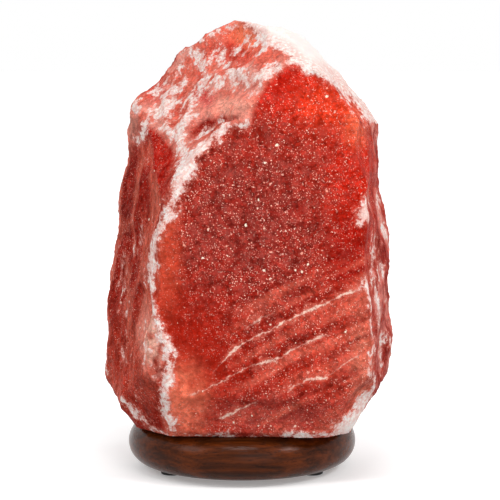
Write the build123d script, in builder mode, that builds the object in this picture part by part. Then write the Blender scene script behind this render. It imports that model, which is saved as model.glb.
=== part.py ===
from build123d import *

import os
from math import cos, radians, sin, sqrt

# Salt crystal lamp. A hewn block of rock salt is screwed to a turned wooden base. A sprung lamp
# holder slides up into the base from below, and its bulb stands in a bore in the salt.
# Millimetres. The origin is on the base's axis, on the surface that the lamp stands on.
# +Z is up, the flat hewn front of the salt looks along -Y, and +X is to the right of it.

# ---- Driving dimensions ----

# Wooden base
BASE_DIAMETER = 115.0
BASE_THICKNESS = 21.7
EDGE_LAND = 0.1
RECESS_DIAMETER = 54.0
RECESS_DEPTH = 12.0
HOLDER_HOLE_DIAMETER = 40.0
CHANNEL_WIDTH = 8.0
CHANNEL_DEPTH = 9.0
CHANNEL_OFFSET = 14.0

# Feet
FOOT_COUNT = 3
FOOT_DIAMETER = 11.0
FOOT_STAND = 2.7
FOOT_SEAT_DEPTH = 2.3
FOOT_MARGIN = 0.7
FIRST_FOOT_ANGLE = 90.0
FOOT_SCREW_DIAMETER = 2.5
FOOT_SCREW_LENGTH = 12.0
FOOT_SCREW_HEAD_DIAMETER = 5.5
FOOT_SCREW_HEAD_HEIGHT = 1.5
FOOT_SCREW_SINK = 2.4

# Salt crystal
CRYSTAL_WIDTH = 147.6
CRYSTAL_DEPTH = 118.2
CRYSTAL_HEIGHT = 202.4
CRYSTAL_SHIFT_X = 0.2
CRYSTAL_SHIFT_Y = 0.5
CAVITY_DIAMETER = 50.0
CAVITY_DEPTH = 92.0
CAVITY_ROUND = 6.0

# Each hewn facet: azimuth and elevation of the way it faces, in degrees, and a point that it
# passes through, counted from the middle of the block in half widths, half depths and half heights.
FACETS = {
    "front": (270, 6, -0.02, -0.98, -0.65),
    "front_top": (278, 62, 0.30, -0.69, 0.81),
    "front_low": (268, -35, -0.02, -0.75, -1.00),
    "front_low_right": (312, -34, 0.67, -0.76, -0.94),
    "front_low_left": (222, -30, -0.64, -0.57, -0.96),
    "shoulder_front": (217, 39, 0.12, -0.73, 0.70),
    "side_left_front": (199, 8, -0.60, -0.91, -0.30),
    "side_left": (176, 1, -0.955, 0.54, -0.65),
    "side_left_upper": (176, 7.5, -0.91, 0.56, -0.10),
    "side_left_low": (188, -38, -0.82, 0.13, -0.96),
    "shoulder_left": (172, 28, -0.82, 0.47, 0.47),
    "shoulder_left_upper": (160, 43, -0.61, 0.23, 0.705),
    "top": (5, 78, 0.04, 0.08, 0.98),
    "top_right": (0, 66, 0.26, -0.01, 0.95),
    "shoulder_right_upper": (352, 52, 0.45, -0.01, 0.87),
    "shoulder_right": (352, 37, 0.71, -0.09, 0.66),
    "side_right_upper": (348, 9, 0.92, -0.18, 0.27),
    "side_right": (345, 2, 0.98, -0.18, -0.25),
    "side_right_back": (14, 1, 0.98, -0.01, -0.50),
    "side_right_lower": (350, -9, 0.98, -0.18, -0.69),
    "side_right_low": (352, -31, 0.87, -0.18, -0.88),
    "back": (88, 3, -0.02, 0.97, -0.55),
    "back_left": (128, 7, -0.84, 0.78, -0.45),
    "back_right": (42, 6, 0.75, 0.68, -0.25),
    "back_top": (96, 38, -0.02, 0.64, 0.70),
    "back_top_right": (38, 42, 0.48, 0.33, 0.76),
    "back_low": (92, -36, -0.02, 0.78, -0.98),
    "back_low_right": (40, -34, 0.61, 0.57, -0.97),
    "back_low_left": (146, -32, -0.73, 0.57, -0.95),
}

# Hollows that the chisel leaves all round the block, but not in its flat front. They climb round it
# in a spiral. Each is a shallow round bowl in the facet that it strikes, leaning a little to one
# side, and they grow from the least radius to the greatest and start again.
SMOOTH_FACETS = ("front", "front_top", "front_low")
HOLLOW_COUNT = 78
HOLLOW_TURN = 136.8
HOLLOW_LOWEST = 8.0
HOLLOW_HIGHEST = 197.0
HOLLOW_LEAST_RADIUS = 38.0
HOLLOW_GREATEST_RADIUS = 105.0
HOLLOW_DEPTH = 2.8
HOLLOW_LEAN = 0.08
HOLLOW_CYCLE = 5

# Screws and wall plugs that hold the salt to the base
CRYSTAL_SCREW_COUNT = 3
FIRST_SCREW_ANGLE = 30.0
CRYSTAL_SCREW_DIAMETER = 4.0
CRYSTAL_SCREW_LENGTH = 40.0
CRYSTAL_SCREW_HEAD_DIAMETER = 8.0
CRYSTAL_SCREW_HEAD_HEIGHT = 2.6
CRYSTAL_SCREW_SINK = 8.0
COUNTERBORE_GAP = 0.75
PLUG_DIAMETER = 8.0
PLUG_LENGTH = 30.0

# Plate and cord inlet
PLATE_GAP = 1.0
PLATE_THICKNESS = 1.0
INLET_DIAMETER = 7.2
BUSHING_NECK_DIAMETER = 10.0
BUSHING_HEAD_DIAMETER = 12.0
BUSHING_HEAD_HEIGHT = 2.5
BUSHING_LIP_DIAMETER = 11.2
BUSHING_LIP_HEIGHT = 1.0

# Lamp holder's case
HOLDER_DIAMETER = 28.0
HOLDER_WALL = 1.8
CUP_FLOOR = 2.5
CUP_HEIGHT = 14.0
COLLAR_WALL = 0.9
COLLAR_HEIGHT = 4.0
SLEEVE_HEIGHT = 32.0
SLEEVE_WALL = 2.5
CARRIER_FLANGE = 2.0
CARRIER_HEIGHT = 7.5
HOLDER_SCREW_RADIUS = 8.9
HOLDER_SCREW_DIAMETER = 3.0
HOLDER_SCREW_HEAD_DIAMETER = 5.5
HOLDER_SCREW_HEAD_HEIGHT = 1.8
HOLDER_SCREW_TAIL = 1.0
NUT_ACROSS_FLATS = 5.5
NUT_HEIGHT = 2.4

# Screw shell and contacts
CAP_DIAMETER = 13.9
THREAD_GAP = 0.1
SHELL_WALL = 0.35
SHELL_HEIGHT = 16.5
SHELL_FLANGE_DIAMETER = 19.0
SHELL_FLANGE = 0.4
SHELL_RIVET_RADIUS = 8.4
SHELL_RIVET_DIAMETER = 1.6
SHELL_RIVET_HEAD_DIAMETER = 2.0
SHELL_RIVET_HEAD_HEIGHT = 0.5
SHELL_RIVET_LENGTH = 4.0
STRAP_THICKNESS = 0.4
STRAP_WIDTH = 5.0
STRAP_TAIL = 12.6
CENTRE_STRAP_X = 5.8
CENTRE_SPRING_RISE = 1.4
SPRING_TOUCH = 1.8
TERMINAL_DROP = 10.0
TERMINAL_SCREW_DIAMETER = 2.5
TERMINAL_SCREW_LENGTH = 2.3
TERMINAL_HEAD_DIAMETER = 4.4
TERMINAL_HEAD_HEIGHT = 1.6

# Spring clips
CLIP_WIDTH = 8.0
CLIP_THICKNESS = 0.5
CLIP_HINGE_X = 14.9
CLIP_FOOT_LENGTH = 4.0
CLIP_TIP_X = 17.0
CLIP_KNEE_RISE = 6.6
CLIP_TIP_RISE = 10.6
CLIP_RIVET_DIAMETER = 2.2
CLIP_RIVET_HEAD_DIAMETER = 3.2
CLIP_RIVET_HEAD_HEIGHT = 0.5

# Bulb
TIP_CONTACT_DIAMETER = 4.8
TIP_CONTACT_HEIGHT = 1.25
TIP_STEM_DIAMETER = 1.7
TIP_STEM_HEIGHT = 2.0
INSULATOR_HEIGHT = 2.6
INSULATOR_DIAMETER = 7.2
CAP_HEIGHT = 15.0
CAP_WALL = 0.3
CAP_LIP_DIAMETER = 11.6
CAP_SKIRT_DIAMETER = 15.2
CAP_SKIRT_HEIGHT = 3.2
BULB_LENGTH = 57.0
GLASS_DIAMETER = 24.0
GLASS_WALL = 0.7
GLASS_NECK_HEIGHT = 7.0
GLASS_FLARE_HEIGHT = 12.0
STEM_DIAMETER = 4.0
STEM_HEIGHT = 17.0
STEM_BEAD_DIAMETER = 5.2
STEM_BEAD_HEIGHT = 3.0
FLARE_THICKNESS = 1.0
LEAD_DIAMETER = 0.7
LEAD_SPREAD = 5.5
LEAD_FOOT = 1.3
LEAD_RISE = 7.0
FILAMENT_DIAMETER = 0.3
FILAMENT_RISE = 3.0

# Clearances
FIT_GAP = 0.05
TURN_GAP = 0.05
SLIP_GAP = 0.1
TOUCH_GAP = 0.02
HOLE_GAP = 0.25
WING_GAP = 0.15

# ---- Sizes that follow ----

base_radius = BASE_DIAMETER / 2
base_bottom = FOOT_STAND
base_top = base_bottom + BASE_THICKNESS
edge_round = (BASE_THICKNESS - EDGE_LAND) / 2
underside_radius = base_radius - edge_round
recess_top = base_bottom + RECESS_DEPTH
hole_radius = HOLDER_HOLE_DIAMETER / 2

foot_circle = underside_radius - FOOT_DIAMETER / 2 - FOOT_MARGIN
foot_top = base_bottom + FOOT_SEAT_DEPTH
foot_screw_seat = FOOT_SCREW_SINK

screw_circle = (RECESS_DIAMETER / 2 + underside_radius) / 2
screw_seat = base_bottom + CRYSTAL_SCREW_SINK

plate_top = recess_top
plate_bottom = plate_top - PLATE_THICKNESS
plate_diameter = RECESS_DIAMETER - 2 * PLATE_GAP

cup_floor_top = plate_top + CUP_FLOOR
collar_top = plate_top + CUP_HEIGHT
collar_bottom = collar_top - COLLAR_HEIGHT
cup_inner_radius = HOLDER_DIAMETER / 2 - HOLDER_WALL
collar_radius = cup_inner_radius + COLLAR_WALL
ledge_height = collar_top + CARRIER_FLANGE
carrier_top = collar_top + CARRIER_HEIGHT
sleeve_bore_radius = HOLDER_DIAMETER / 2 - SLEEVE_WALL
carrier_radius = sleeve_bore_radius - SLIP_GAP
nut_seat = cup_floor_top

shell_radius = CAP_DIAMETER / 2 + THREAD_GAP
flange_top = carrier_top + SHELL_FLANGE
side_strap_x = SHELL_FLANGE_DIAMETER / 2 + HOLE_GAP
terminal_height = carrier_top - TERMINAL_DROP
tip_height = carrier_top + STRAP_THICKNESS + CENTRE_SPRING_RISE + TOUCH_GAP

knee_x = sqrt((hole_radius - WING_GAP) ** 2 - (CLIP_WIDTH / 2) ** 2)
clip_bend_height = plate_top + CLIP_THICKNESS / 2
clip_rivet_x = CLIP_HINGE_X + CLIP_THICKNESS + CLIP_FOOT_LENGTH / 2

insulator_bottom = tip_height + TIP_CONTACT_HEIGHT + TURN_GAP
cap_bottom = insulator_bottom + INSULATOR_HEIGHT
cap_top = cap_bottom + CAP_HEIGHT
glass_top = tip_height + BULB_LENGTH
glass_bottom = cap_top - GLASS_NECK_HEIGHT
neck_radius = CAP_DIAMETER / 2 - CAP_WALL - SLIP_GAP
glass_radius = GLASS_DIAMETER / 2
bead_top = glass_bottom + FLARE_THICKNESS + STEM_HEIGHT
lead_top = bead_top + LEAD_RISE

crystal_middle = Vector(CRYSTAL_SHIFT_X, CRYSTAL_SHIFT_Y, base_top + CRYSTAL_HEIGHT / 2)


def facet_plane(azimuth, elevation, share_x, share_y, share_z):
    """The plane of one hewn facet, facing out of the salt."""
    across = cos(radians(elevation))
    facing = (across * cos(radians(azimuth)), across * sin(radians(azimuth)), sin(radians(elevation)))
    through = crystal_middle + Vector(
        share_x * CRYSTAL_WIDTH / 2, share_y * CRYSTAL_DEPTH / 2, share_z * CRYSTAL_HEIGHT / 2
    )
    return Plane(origin=through, z_dir=facing)


def hollow(number):
    """The place and radius of one hewn hollow, facing out of the salt from the bottom of its bowl, or
    None where the facet there is a smooth one."""
    angle = radians(number * HOLLOW_TURN)
    height = base_top + HOLLOW_LOWEST + (HOLLOW_HIGHEST - HOLLOW_LOWEST) * number / (HOLLOW_COUNT - 1)
    start, way = Vector(crystal_middle.X, crystal_middle.Y, height), Vector(cos(angle), sin(angle), 0)
    reaches = {}
    for name, facet in FACETS.items():
        plane = facet_plane(*facet)
        if way.dot(plane.z_dir) > 0:
            reaches[name] = (plane.origin - start).dot(plane.z_dir) / way.dot(plane.z_dir)
    struck = min(reaches, key=reaches.get)
    if struck in SMOOTH_FACETS:
        return None
    growth = (number * 2 % HOLLOW_CYCLE) / (HOLLOW_CYCLE - 1)
    radius = HOLLOW_LEAST_RADIUS * (HOLLOW_GREATEST_RADIUS / HOLLOW_LEAST_RADIUS) ** growth
    lean = Vector(cos(3 * angle), sin(2 * angle), cos(5 * angle)) * HOLLOW_LEAN
    facing = (facet_plane(*FACETS[struck]).z_dir + lean).normalized()
    return Plane(origin=start + way * reaches[struck] - facing * HOLLOW_DEPTH, z_dir=facing), radius


def save(part, name):
    """Label one finished piece and write its STEP file."""
    part.label = name
    export_step(part, f"parts/{name}.step")


os.makedirs("parts", exist_ok=True)

# ---- Base ----

with BuildPart() as wood_base:
    with BuildSketch(Plane.XZ):
        with Locations((0, base_bottom)):
            section = Rectangle(base_radius, BASE_THICKNESS, align=(Align.MIN, Align.MIN))
        fillet(section.vertices().group_by(Axis.X)[-1], edge_round)
    revolve(axis=Axis.Z)
    with BuildSketch(Plane.XY.offset(base_bottom)):
        Circle(RECESS_DIAMETER / 2)
    extrude(amount=RECESS_DEPTH, mode=Mode.SUBTRACT)
    with BuildSketch(Plane.XY.offset(recess_top)):
        Circle(hole_radius)
    extrude(until=Until.LAST, mode=Mode.SUBTRACT)
    # the cord's way out, past the rear foot
    with BuildSketch(Plane.XY.offset(base_bottom)):
        with Locations((CHANNEL_OFFSET, 0)):
            Rectangle(CHANNEL_WIDTH, BASE_DIAMETER, align=(Align.CENTER, Align.MIN))
    extrude(amount=CHANNEL_DEPTH, mode=Mode.SUBTRACT)
    # seats and pilot holes of the feet
    with BuildSketch(Plane.XY.offset(base_bottom)):
        with PolarLocations(foot_circle, FOOT_COUNT, FIRST_FOOT_ANGLE):
            Circle(FOOT_DIAMETER / 2 + FIT_GAP)
    extrude(amount=FOOT_SEAT_DEPTH, mode=Mode.SUBTRACT)
    with BuildSketch(Plane.XY.offset(base_bottom)):
        with PolarLocations(foot_circle, FOOT_COUNT, FIRST_FOOT_ANGLE):
            Circle(FOOT_SCREW_DIAMETER / 2 + FIT_GAP)
    extrude(amount=foot_screw_seat + FOOT_SCREW_LENGTH - base_bottom + FIT_GAP, mode=Mode.SUBTRACT)
    # counterbored holes of the screws into the salt
    with BuildSketch(Plane.XY.offset(base_bottom)):
        with PolarLocations(screw_circle, CRYSTAL_SCREW_COUNT, FIRST_SCREW_ANGLE):
            Circle(CRYSTAL_SCREW_HEAD_DIAMETER / 2 + COUNTERBORE_GAP)
    extrude(amount=CRYSTAL_SCREW_SINK, mode=Mode.SUBTRACT)
    with BuildSketch(Plane.XY.offset(screw_seat)):
        with PolarLocations(screw_circle, CRYSTAL_SCREW_COUNT, FIRST_SCREW_ANGLE):
            Circle(CRYSTAL_SCREW_DIAMETER / 2 + HOLE_GAP)
    extrude(until=Until.LAST, mode=Mode.SUBTRACT)
save(wood_base.part, "wood_base")

with BuildPart() as rubber_feet:
    with BuildSketch():
        with PolarLocations(foot_circle, FOOT_COUNT, FIRST_FOOT_ANGLE):
            Circle(FOOT_DIAMETER / 2)
            Circle(FOOT_SCREW_DIAMETER / 2 + SLIP_GAP, mode=Mode.SUBTRACT)
    extrude(amount=foot_top)
    with BuildSketch():
        with PolarLocations(foot_circle, FOOT_COUNT, FIRST_FOOT_ANGLE):
            Circle(FOOT_SCREW_HEAD_DIAMETER / 2 + HOLE_GAP)
    extrude(amount=FOOT_SCREW_SINK, mode=Mode.SUBTRACT)
save(rubber_feet.part, "rubber_feet")

with BuildPart() as foot_screws:
    with BuildSketch(Plane.XY.offset(foot_screw_seat - FOOT_SCREW_HEAD_HEIGHT)):
        with PolarLocations(foot_circle, FOOT_COUNT, FIRST_FOOT_ANGLE):
            Circle(FOOT_SCREW_HEAD_DIAMETER / 2)
    extrude(amount=FOOT_SCREW_HEAD_HEIGHT)
    with BuildSketch(Plane.XY.offset(foot_screw_seat)):
        with PolarLocations(foot_circle, FOOT_COUNT, FIRST_FOOT_ANGLE):
            Circle(FOOT_SCREW_DIAMETER / 2)
    extrude(amount=FOOT_SCREW_LENGTH)
save(foot_screws.part, "foot_screws")

# ---- Salt crystal and what holds it down ----

with BuildPart() as salt_crystal:
    with Locations((crystal_middle.X, crystal_middle.Y, base_top)):
        Box(
            2 * CRYSTAL_WIDTH, 2 * CRYSTAL_DEPTH, 2 * CRYSTAL_HEIGHT,
            align=(Align.CENTER, Align.CENTER, Align.MIN),
        )
    for facet in FACETS.values():
        split(bisect_by=facet_plane(*facet), keep=Keep.BOTTOM)
    for place, radius in filter(None, map(hollow, range(HOLLOW_COUNT))):
        with Locations(place.offset(radius)):
            Sphere(radius, rotation=(0, -90, 0), mode=Mode.SUBTRACT)
    with BuildSketch(Plane.XZ):
        with Locations((0, base_top)):
            bore = Rectangle(CAVITY_DIAMETER / 2, CAVITY_DEPTH, align=(Align.MIN, Align.MIN))
        fillet(bore.vertices().sort_by(Axis.X)[-2:].sort_by(Axis.Y)[-1], CAVITY_ROUND)
    revolve(axis=Axis.Z, mode=Mode.SUBTRACT)
    with BuildSketch(Plane.XY.offset(base_top)):
        with PolarLocations(screw_circle, CRYSTAL_SCREW_COUNT, FIRST_SCREW_ANGLE):
            Circle(PLUG_DIAMETER / 2 + FIT_GAP)
    extrude(amount=PLUG_LENGTH + FIT_GAP, mode=Mode.SUBTRACT)
save(salt_crystal.part, "salt_crystal")

with BuildPart() as crystal_plugs:
    with BuildSketch(Plane.XY.offset(base_top)):
        with PolarLocations(screw_circle, CRYSTAL_SCREW_COUNT, FIRST_SCREW_ANGLE):
            Circle(PLUG_DIAMETER / 2)
            Circle(CRYSTAL_SCREW_DIAMETER / 2 + FIT_GAP, mode=Mode.SUBTRACT)
    extrude(amount=PLUG_LENGTH)
save(crystal_plugs.part, "crystal_plugs")

with BuildPart() as crystal_screws:
    with BuildSketch(Plane.XY.offset(screw_seat - CRYSTAL_SCREW_HEAD_HEIGHT)):
        with PolarLocations(screw_circle, CRYSTAL_SCREW_COUNT, FIRST_SCREW_ANGLE):
            Circle(CRYSTAL_SCREW_HEAD_DIAMETER / 2)
    extrude(amount=CRYSTAL_SCREW_HEAD_HEIGHT)
    with BuildSketch(Plane.XY.offset(screw_seat)):
        with PolarLocations(screw_circle, CRYSTAL_SCREW_COUNT, FIRST_SCREW_ANGLE):
            Circle(CRYSTAL_SCREW_DIAMETER / 2)
    extrude(amount=CRYSTAL_SCREW_LENGTH)
save(crystal_screws.part, "crystal_screws")

# ---- Plate, cord inlet and the holder's screws ----

with BuildPart() as flange_plate:
    with BuildSketch(Plane.XY.offset(plate_bottom)):
        Circle(plate_diameter / 2)
        Circle(BUSHING_NECK_DIAMETER / 2 + FIT_GAP, mode=Mode.SUBTRACT)
        with PolarLocations(HOLDER_SCREW_RADIUS, 2, 90):
            Circle(HOLDER_SCREW_DIAMETER / 2 + SLIP_GAP, mode=Mode.SUBTRACT)
        with PolarLocations(clip_rivet_x, 2):
            Circle(CLIP_RIVET_DIAMETER / 2 + FIT_GAP, mode=Mode.SUBTRACT)
    extrude(amount=PLATE_THICKNESS)
save(flange_plate.part, "flange_plate")

with BuildPart() as cord_bushing:
    with BuildSketch(Plane.XY.offset(plate_bottom - BUSHING_HEAD_HEIGHT)):
        Circle(BUSHING_HEAD_DIAMETER / 2)
    extrude(amount=BUSHING_HEAD_HEIGHT)
    with BuildSketch(Plane.XY.offset(plate_bottom)):
        Circle(BUSHING_NECK_DIAMETER / 2)
    extrude(amount=PLATE_THICKNESS + CUP_FLOOR)
    with BuildSketch(Plane.XY.offset(cup_floor_top)):
        Circle(BUSHING_LIP_DIAMETER / 2)
    extrude(amount=BUSHING_LIP_HEIGHT)
    with BuildSketch(Plane.XY.offset(plate_bottom - BUSHING_HEAD_HEIGHT)):
        Circle(INLET_DIAMETER / 2)
    extrude(until=Until.LAST, mode=Mode.SUBTRACT)
save(cord_bushing.part, "cord_bushing")

with BuildPart() as holder_screws:
    with BuildSketch(Plane.XY.offset(plate_bottom - HOLDER_SCREW_HEAD_HEIGHT)):
        with PolarLocations(HOLDER_SCREW_RADIUS, 2, 90):
            Circle(HOLDER_SCREW_HEAD_DIAMETER / 2)
    extrude(amount=HOLDER_SCREW_HEAD_HEIGHT)
    with BuildSketch(Plane.XY.offset(plate_bottom)):
        with PolarLocations(HOLDER_SCREW_RADIUS, 2, 90):
            Circle(HOLDER_SCREW_DIAMETER / 2)
    extrude(amount=PLATE_THICKNESS + CUP_FLOOR + NUT_HEIGHT + HOLDER_SCREW_TAIL)
save(holder_screws.part, "holder_screws")

with BuildPart() as holder_nuts:
    with BuildSketch(Plane.XY.offset(nut_seat)):
        with PolarLocations(HOLDER_SCREW_RADIUS, 2, 90):
            RegularPolygon(NUT_ACROSS_FLATS / 2, 6, major_radius=False, rotation=30)
            Circle(HOLDER_SCREW_DIAMETER / 2 + FIT_GAP, mode=Mode.SUBTRACT)
    extrude(amount=NUT_HEIGHT)
save(holder_nuts.part, "holder_nuts")

# ---- Lamp holder's case ----

with BuildPart() as holder_base:
    with BuildSketch(Plane.XY.offset(plate_top)):
        Circle(HOLDER_DIAMETER / 2)
    extrude(amount=CUP_HEIGHT - COLLAR_HEIGHT)
    with BuildSketch(Plane.XY.offset(collar_bottom)):
        Circle(collar_radius)
    extrude(amount=COLLAR_HEIGHT)
    with BuildSketch(Plane.XY.offset(cup_floor_top)):
        Circle(cup_inner_radius)
    extrude(until=Until.LAST, mode=Mode.SUBTRACT)
    with BuildSketch(Plane.XY.offset(plate_top)):
        Circle(BUSHING_NECK_DIAMETER / 2 + FIT_GAP)
        with PolarLocations(HOLDER_SCREW_RADIUS, 2, 90):
            Circle(HOLDER_SCREW_DIAMETER / 2 + SLIP_GAP)
    extrude(amount=CUP_FLOOR, mode=Mode.SUBTRACT)
save(holder_base.part, "holder_base")

with BuildPart() as holder_sleeve:
    with BuildSketch(Plane.XY.offset(collar_bottom)):
        Circle(HOLDER_DIAMETER / 2)
    extrude(amount=SLEEVE_HEIGHT)
    with BuildSketch(Plane.XY.offset(collar_bottom)):
        Circle(collar_radius + SLIP_GAP)
    extrude(amount=COLLAR_HEIGHT + CARRIER_FLANGE, mode=Mode.SUBTRACT)
    with BuildSketch(Plane.XY.offset(ledge_height)):
        Circle(sleeve_bore_radius)
    extrude(until=Until.LAST, mode=Mode.SUBTRACT)
    rim = holder_sleeve.edges().filter_by(GeomType.CIRCLE).group_by(Axis.Z)[-1]
    chamfer(rim, SLEEVE_WALL / 4)
save(holder_sleeve.part, "holder_sleeve")

with BuildPart() as contact_carrier:
    with BuildSketch(Plane.XY.offset(collar_top)):
        Circle(collar_radius)
    extrude(amount=CARRIER_FLANGE)
    with BuildSketch(Plane.XY.offset(ledge_height)):
        Circle(carrier_radius)
    extrude(amount=CARRIER_HEIGHT - CARRIER_FLANGE)
    # slots for the two contact straps, and holes for the shell's rivets
    with BuildSketch(Plane.XY.offset(collar_top)):
        with Locations((-CENTRE_STRAP_X, 0), (side_strap_x, 0)):
            Rectangle(
                STRAP_THICKNESS + 2 * SLIP_GAP, STRAP_WIDTH + 2 * SLIP_GAP,
            )
    extrude(amount=CARRIER_HEIGHT, mode=Mode.SUBTRACT)
    with BuildSketch(Plane.XY.offset(carrier_top - SHELL_RIVET_LENGTH)):
        with PolarLocations(SHELL_RIVET_RADIUS, 2, 90):
            Circle(SHELL_RIVET_DIAMETER / 2 + FIT_GAP)
    extrude(amount=SHELL_RIVET_LENGTH, mode=Mode.SUBTRACT)
save(contact_carrier.part, "contact_carrier")

# ---- Screw shell and contacts ----

with BuildPart() as thread_shell:
    with BuildSketch(Plane.XY.offset(carrier_top)):
        Circle(SHELL_FLANGE_DIAMETER / 2)
        with PolarLocations(SHELL_RIVET_RADIUS, 2, 90):
            Circle(SHELL_RIVET_DIAMETER / 2 + FIT_GAP, mode=Mode.SUBTRACT)
    extrude(amount=SHELL_FLANGE)
    with BuildSketch(Plane.XY.offset(carrier_top)):
        Circle(shell_radius + SHELL_WALL)
    extrude(amount=SHELL_HEIGHT)
    with BuildSketch(Plane.XY.offset(carrier_top)):
        Circle(shell_radius)
    extrude(amount=SHELL_HEIGHT, mode=Mode.SUBTRACT)
save(thread_shell.part, "thread_shell")

with BuildPart() as shell_rivets:
    with BuildSketch(Plane.XY.offset(flange_top)):
        with PolarLocations(SHELL_RIVET_RADIUS, 2, 90):
            Circle(SHELL_RIVET_HEAD_DIAMETER / 2)
    extrude(amount=SHELL_RIVET_HEAD_HEIGHT)
    with BuildSketch(Plane.XY.offset(carrier_top - SHELL_RIVET_LENGTH)):
        with PolarLocations(SHELL_RIVET_RADIUS, 2, 90):
            Circle(SHELL_RIVET_DIAMETER / 2)
    extrude(amount=SHELL_RIVET_LENGTH + SHELL_FLANGE)
save(shell_rivets.part, "shell_rivets")

with BuildPart() as centre_contact:
    spring_bottom = carrier_top + CENTRE_SPRING_RISE
    with BuildSketch(Plane.XZ):
        with BuildLine():
            Polyline(
                (-CENTRE_STRAP_X - STRAP_THICKNESS / 2, carrier_top - STRAP_TAIL),
                (-CENTRE_STRAP_X + STRAP_THICKNESS / 2, carrier_top - STRAP_TAIL),
                (-CENTRE_STRAP_X + STRAP_THICKNESS / 2, carrier_top),
                (-CENTRE_STRAP_X / 2, carrier_top),
                (-SPRING_TOUCH, spring_bottom),
                (SPRING_TOUCH, spring_bottom),
                (SPRING_TOUCH, spring_bottom + STRAP_THICKNESS),
                (-SPRING_TOUCH - STRAP_THICKNESS / 2, spring_bottom + STRAP_THICKNESS),
                (-CENTRE_STRAP_X / 2 - STRAP_THICKNESS / 2, carrier_top + STRAP_THICKNESS),
                (-CENTRE_STRAP_X - STRAP_THICKNESS / 2, carrier_top + STRAP_THICKNESS),
                close=True,
            )
        make_face()
    extrude(amount=STRAP_WIDTH / 2, both=True)
    with BuildSketch(Plane.YZ):
        with Locations((0, terminal_height)):
            Circle(TERMINAL_SCREW_DIAMETER / 2 + FIT_GAP)
    extrude(amount=-HOLDER_DIAMETER / 2, mode=Mode.SUBTRACT)
save(centre_contact.part, "centre_contact")

with BuildPart() as side_contact:
    strap_in = side_strap_x - STRAP_THICKNESS / 2
    strap_out = side_strap_x + STRAP_THICKNESS / 2
    hook_x = shell_radius + SHELL_WALL + STRAP_THICKNESS
    with BuildSketch(Plane.XZ):
        with BuildLine():
            Polyline(
                (strap_in, carrier_top - STRAP_TAIL),
                (strap_out, carrier_top - STRAP_TAIL),
                (strap_out, flange_top + STRAP_THICKNESS),
                (hook_x, flange_top + STRAP_THICKNESS),
                (hook_x, flange_top),
                (strap_in, flange_top),
                close=True,
            )
        make_face()
    extrude(amount=STRAP_WIDTH / 2, both=True)
    with BuildSketch(Plane.YZ):
        with Locations((0, terminal_height)):
            Circle(TERMINAL_SCREW_DIAMETER / 2 + FIT_GAP)
    extrude(amount=HOLDER_DIAMETER / 2, mode=Mode.SUBTRACT)
save(side_contact.part, "side_contact")

with BuildPart() as terminal_screws:
    # each head stands on the inner side of its strap, with the screw pointing outwards
    for strap_face, way in ((-CENTRE_STRAP_X + STRAP_THICKNESS / 2, -1), (strap_in, 1)):
        head_face = strap_face - way * TOUCH_GAP
        with BuildSketch(Plane.YZ.offset(head_face)):
            with Locations((0, terminal_height)):
                Circle(TERMINAL_HEAD_DIAMETER / 2)
        extrude(amount=-way * TERMINAL_HEAD_HEIGHT)
        with BuildSketch(Plane.YZ.offset(head_face)):
            with Locations((0, terminal_height)):
                Circle(TERMINAL_SCREW_DIAMETER / 2)
        extrude(amount=way * TERMINAL_SCREW_LENGTH)
save(terminal_screws.part, "terminal_screws")

# ---- Spring clips ----

with BuildPart() as clip_feet:
    with BuildSketch(Plane.XY.offset(plate_top)):
        for way in (-1, 1):
            with Locations((way * clip_rivet_x, 0)):
                Rectangle(CLIP_FOOT_LENGTH, CLIP_WIDTH)
                Circle(CLIP_RIVET_DIAMETER / 2 + FIT_GAP, mode=Mode.SUBTRACT)
    extrude(amount=CLIP_THICKNESS)
save(clip_feet.part, "clip_feet")

with BuildPart() as clip_rivets:
    with BuildSketch(Plane.XY.offset(plate_bottom)):
        with PolarLocations(clip_rivet_x, 2):
            Circle(CLIP_RIVET_DIAMETER / 2)
    extrude(amount=PLATE_THICKNESS + CLIP_THICKNESS)
    with BuildSketch(Plane.XY.offset(plate_top + CLIP_THICKNESS)):
        with PolarLocations(clip_rivet_x, 2):
            Circle(CLIP_RIVET_HEAD_DIAMETER / 2)
    extrude(amount=CLIP_RIVET_HEAD_HEIGHT)
    with BuildSketch(Plane.XY.offset(plate_bottom)):
        with PolarLocations(clip_rivet_x, 2):
            Circle(CLIP_RIVET_HEAD_DIAMETER / 2)
    extrude(amount=-CLIP_RIVET_HEAD_HEIGHT)
save(clip_rivets.part, "clip_rivets")

for way, name in ((-1, "clip_wing_left"), (1, "clip_wing_right")):
    with BuildPart() as clip_wing:
        with BuildSketch(Plane.XZ):
            with BuildLine():
                Polyline(
                    (way * CLIP_HINGE_X, clip_bend_height + TOUCH_GAP),
                    (way * (knee_x - CLIP_THICKNESS / 2), clip_bend_height + CLIP_KNEE_RISE),
                    (way * CLIP_TIP_X, clip_bend_height + CLIP_TIP_RISE),
                )
                offset(amount=CLIP_THICKNESS / 2, side=Side.BOTH)
            make_face()
        extrude(amount=CLIP_WIDTH / 2, both=True)
    save(clip_wing.part, name)

# ---- Bulb ----

with BuildPart() as bulb_tip_contact:
    with BuildSketch(Plane.XZ):
        with BuildLine():
            top = tip_height + TIP_CONTACT_HEIGHT
            stem = TIP_STEM_DIAMETER / 2
            Line((0, tip_height), (0, top + TIP_STEM_HEIGHT))
            Line((0, top + TIP_STEM_HEIGHT), (stem, top + TIP_STEM_HEIGHT))
            Line((stem, top + TIP_STEM_HEIGHT), (stem, top))
            Line((stem, top), (TIP_CONTACT_DIAMETER / 2, top))
            TangentArc((0, tip_height), (TIP_CONTACT_DIAMETER / 2, top), tangent=(1, 0))
        make_face()
    revolve(axis=Axis.Z)
save(bulb_tip_contact.part, "bulb_tip_contact")

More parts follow.
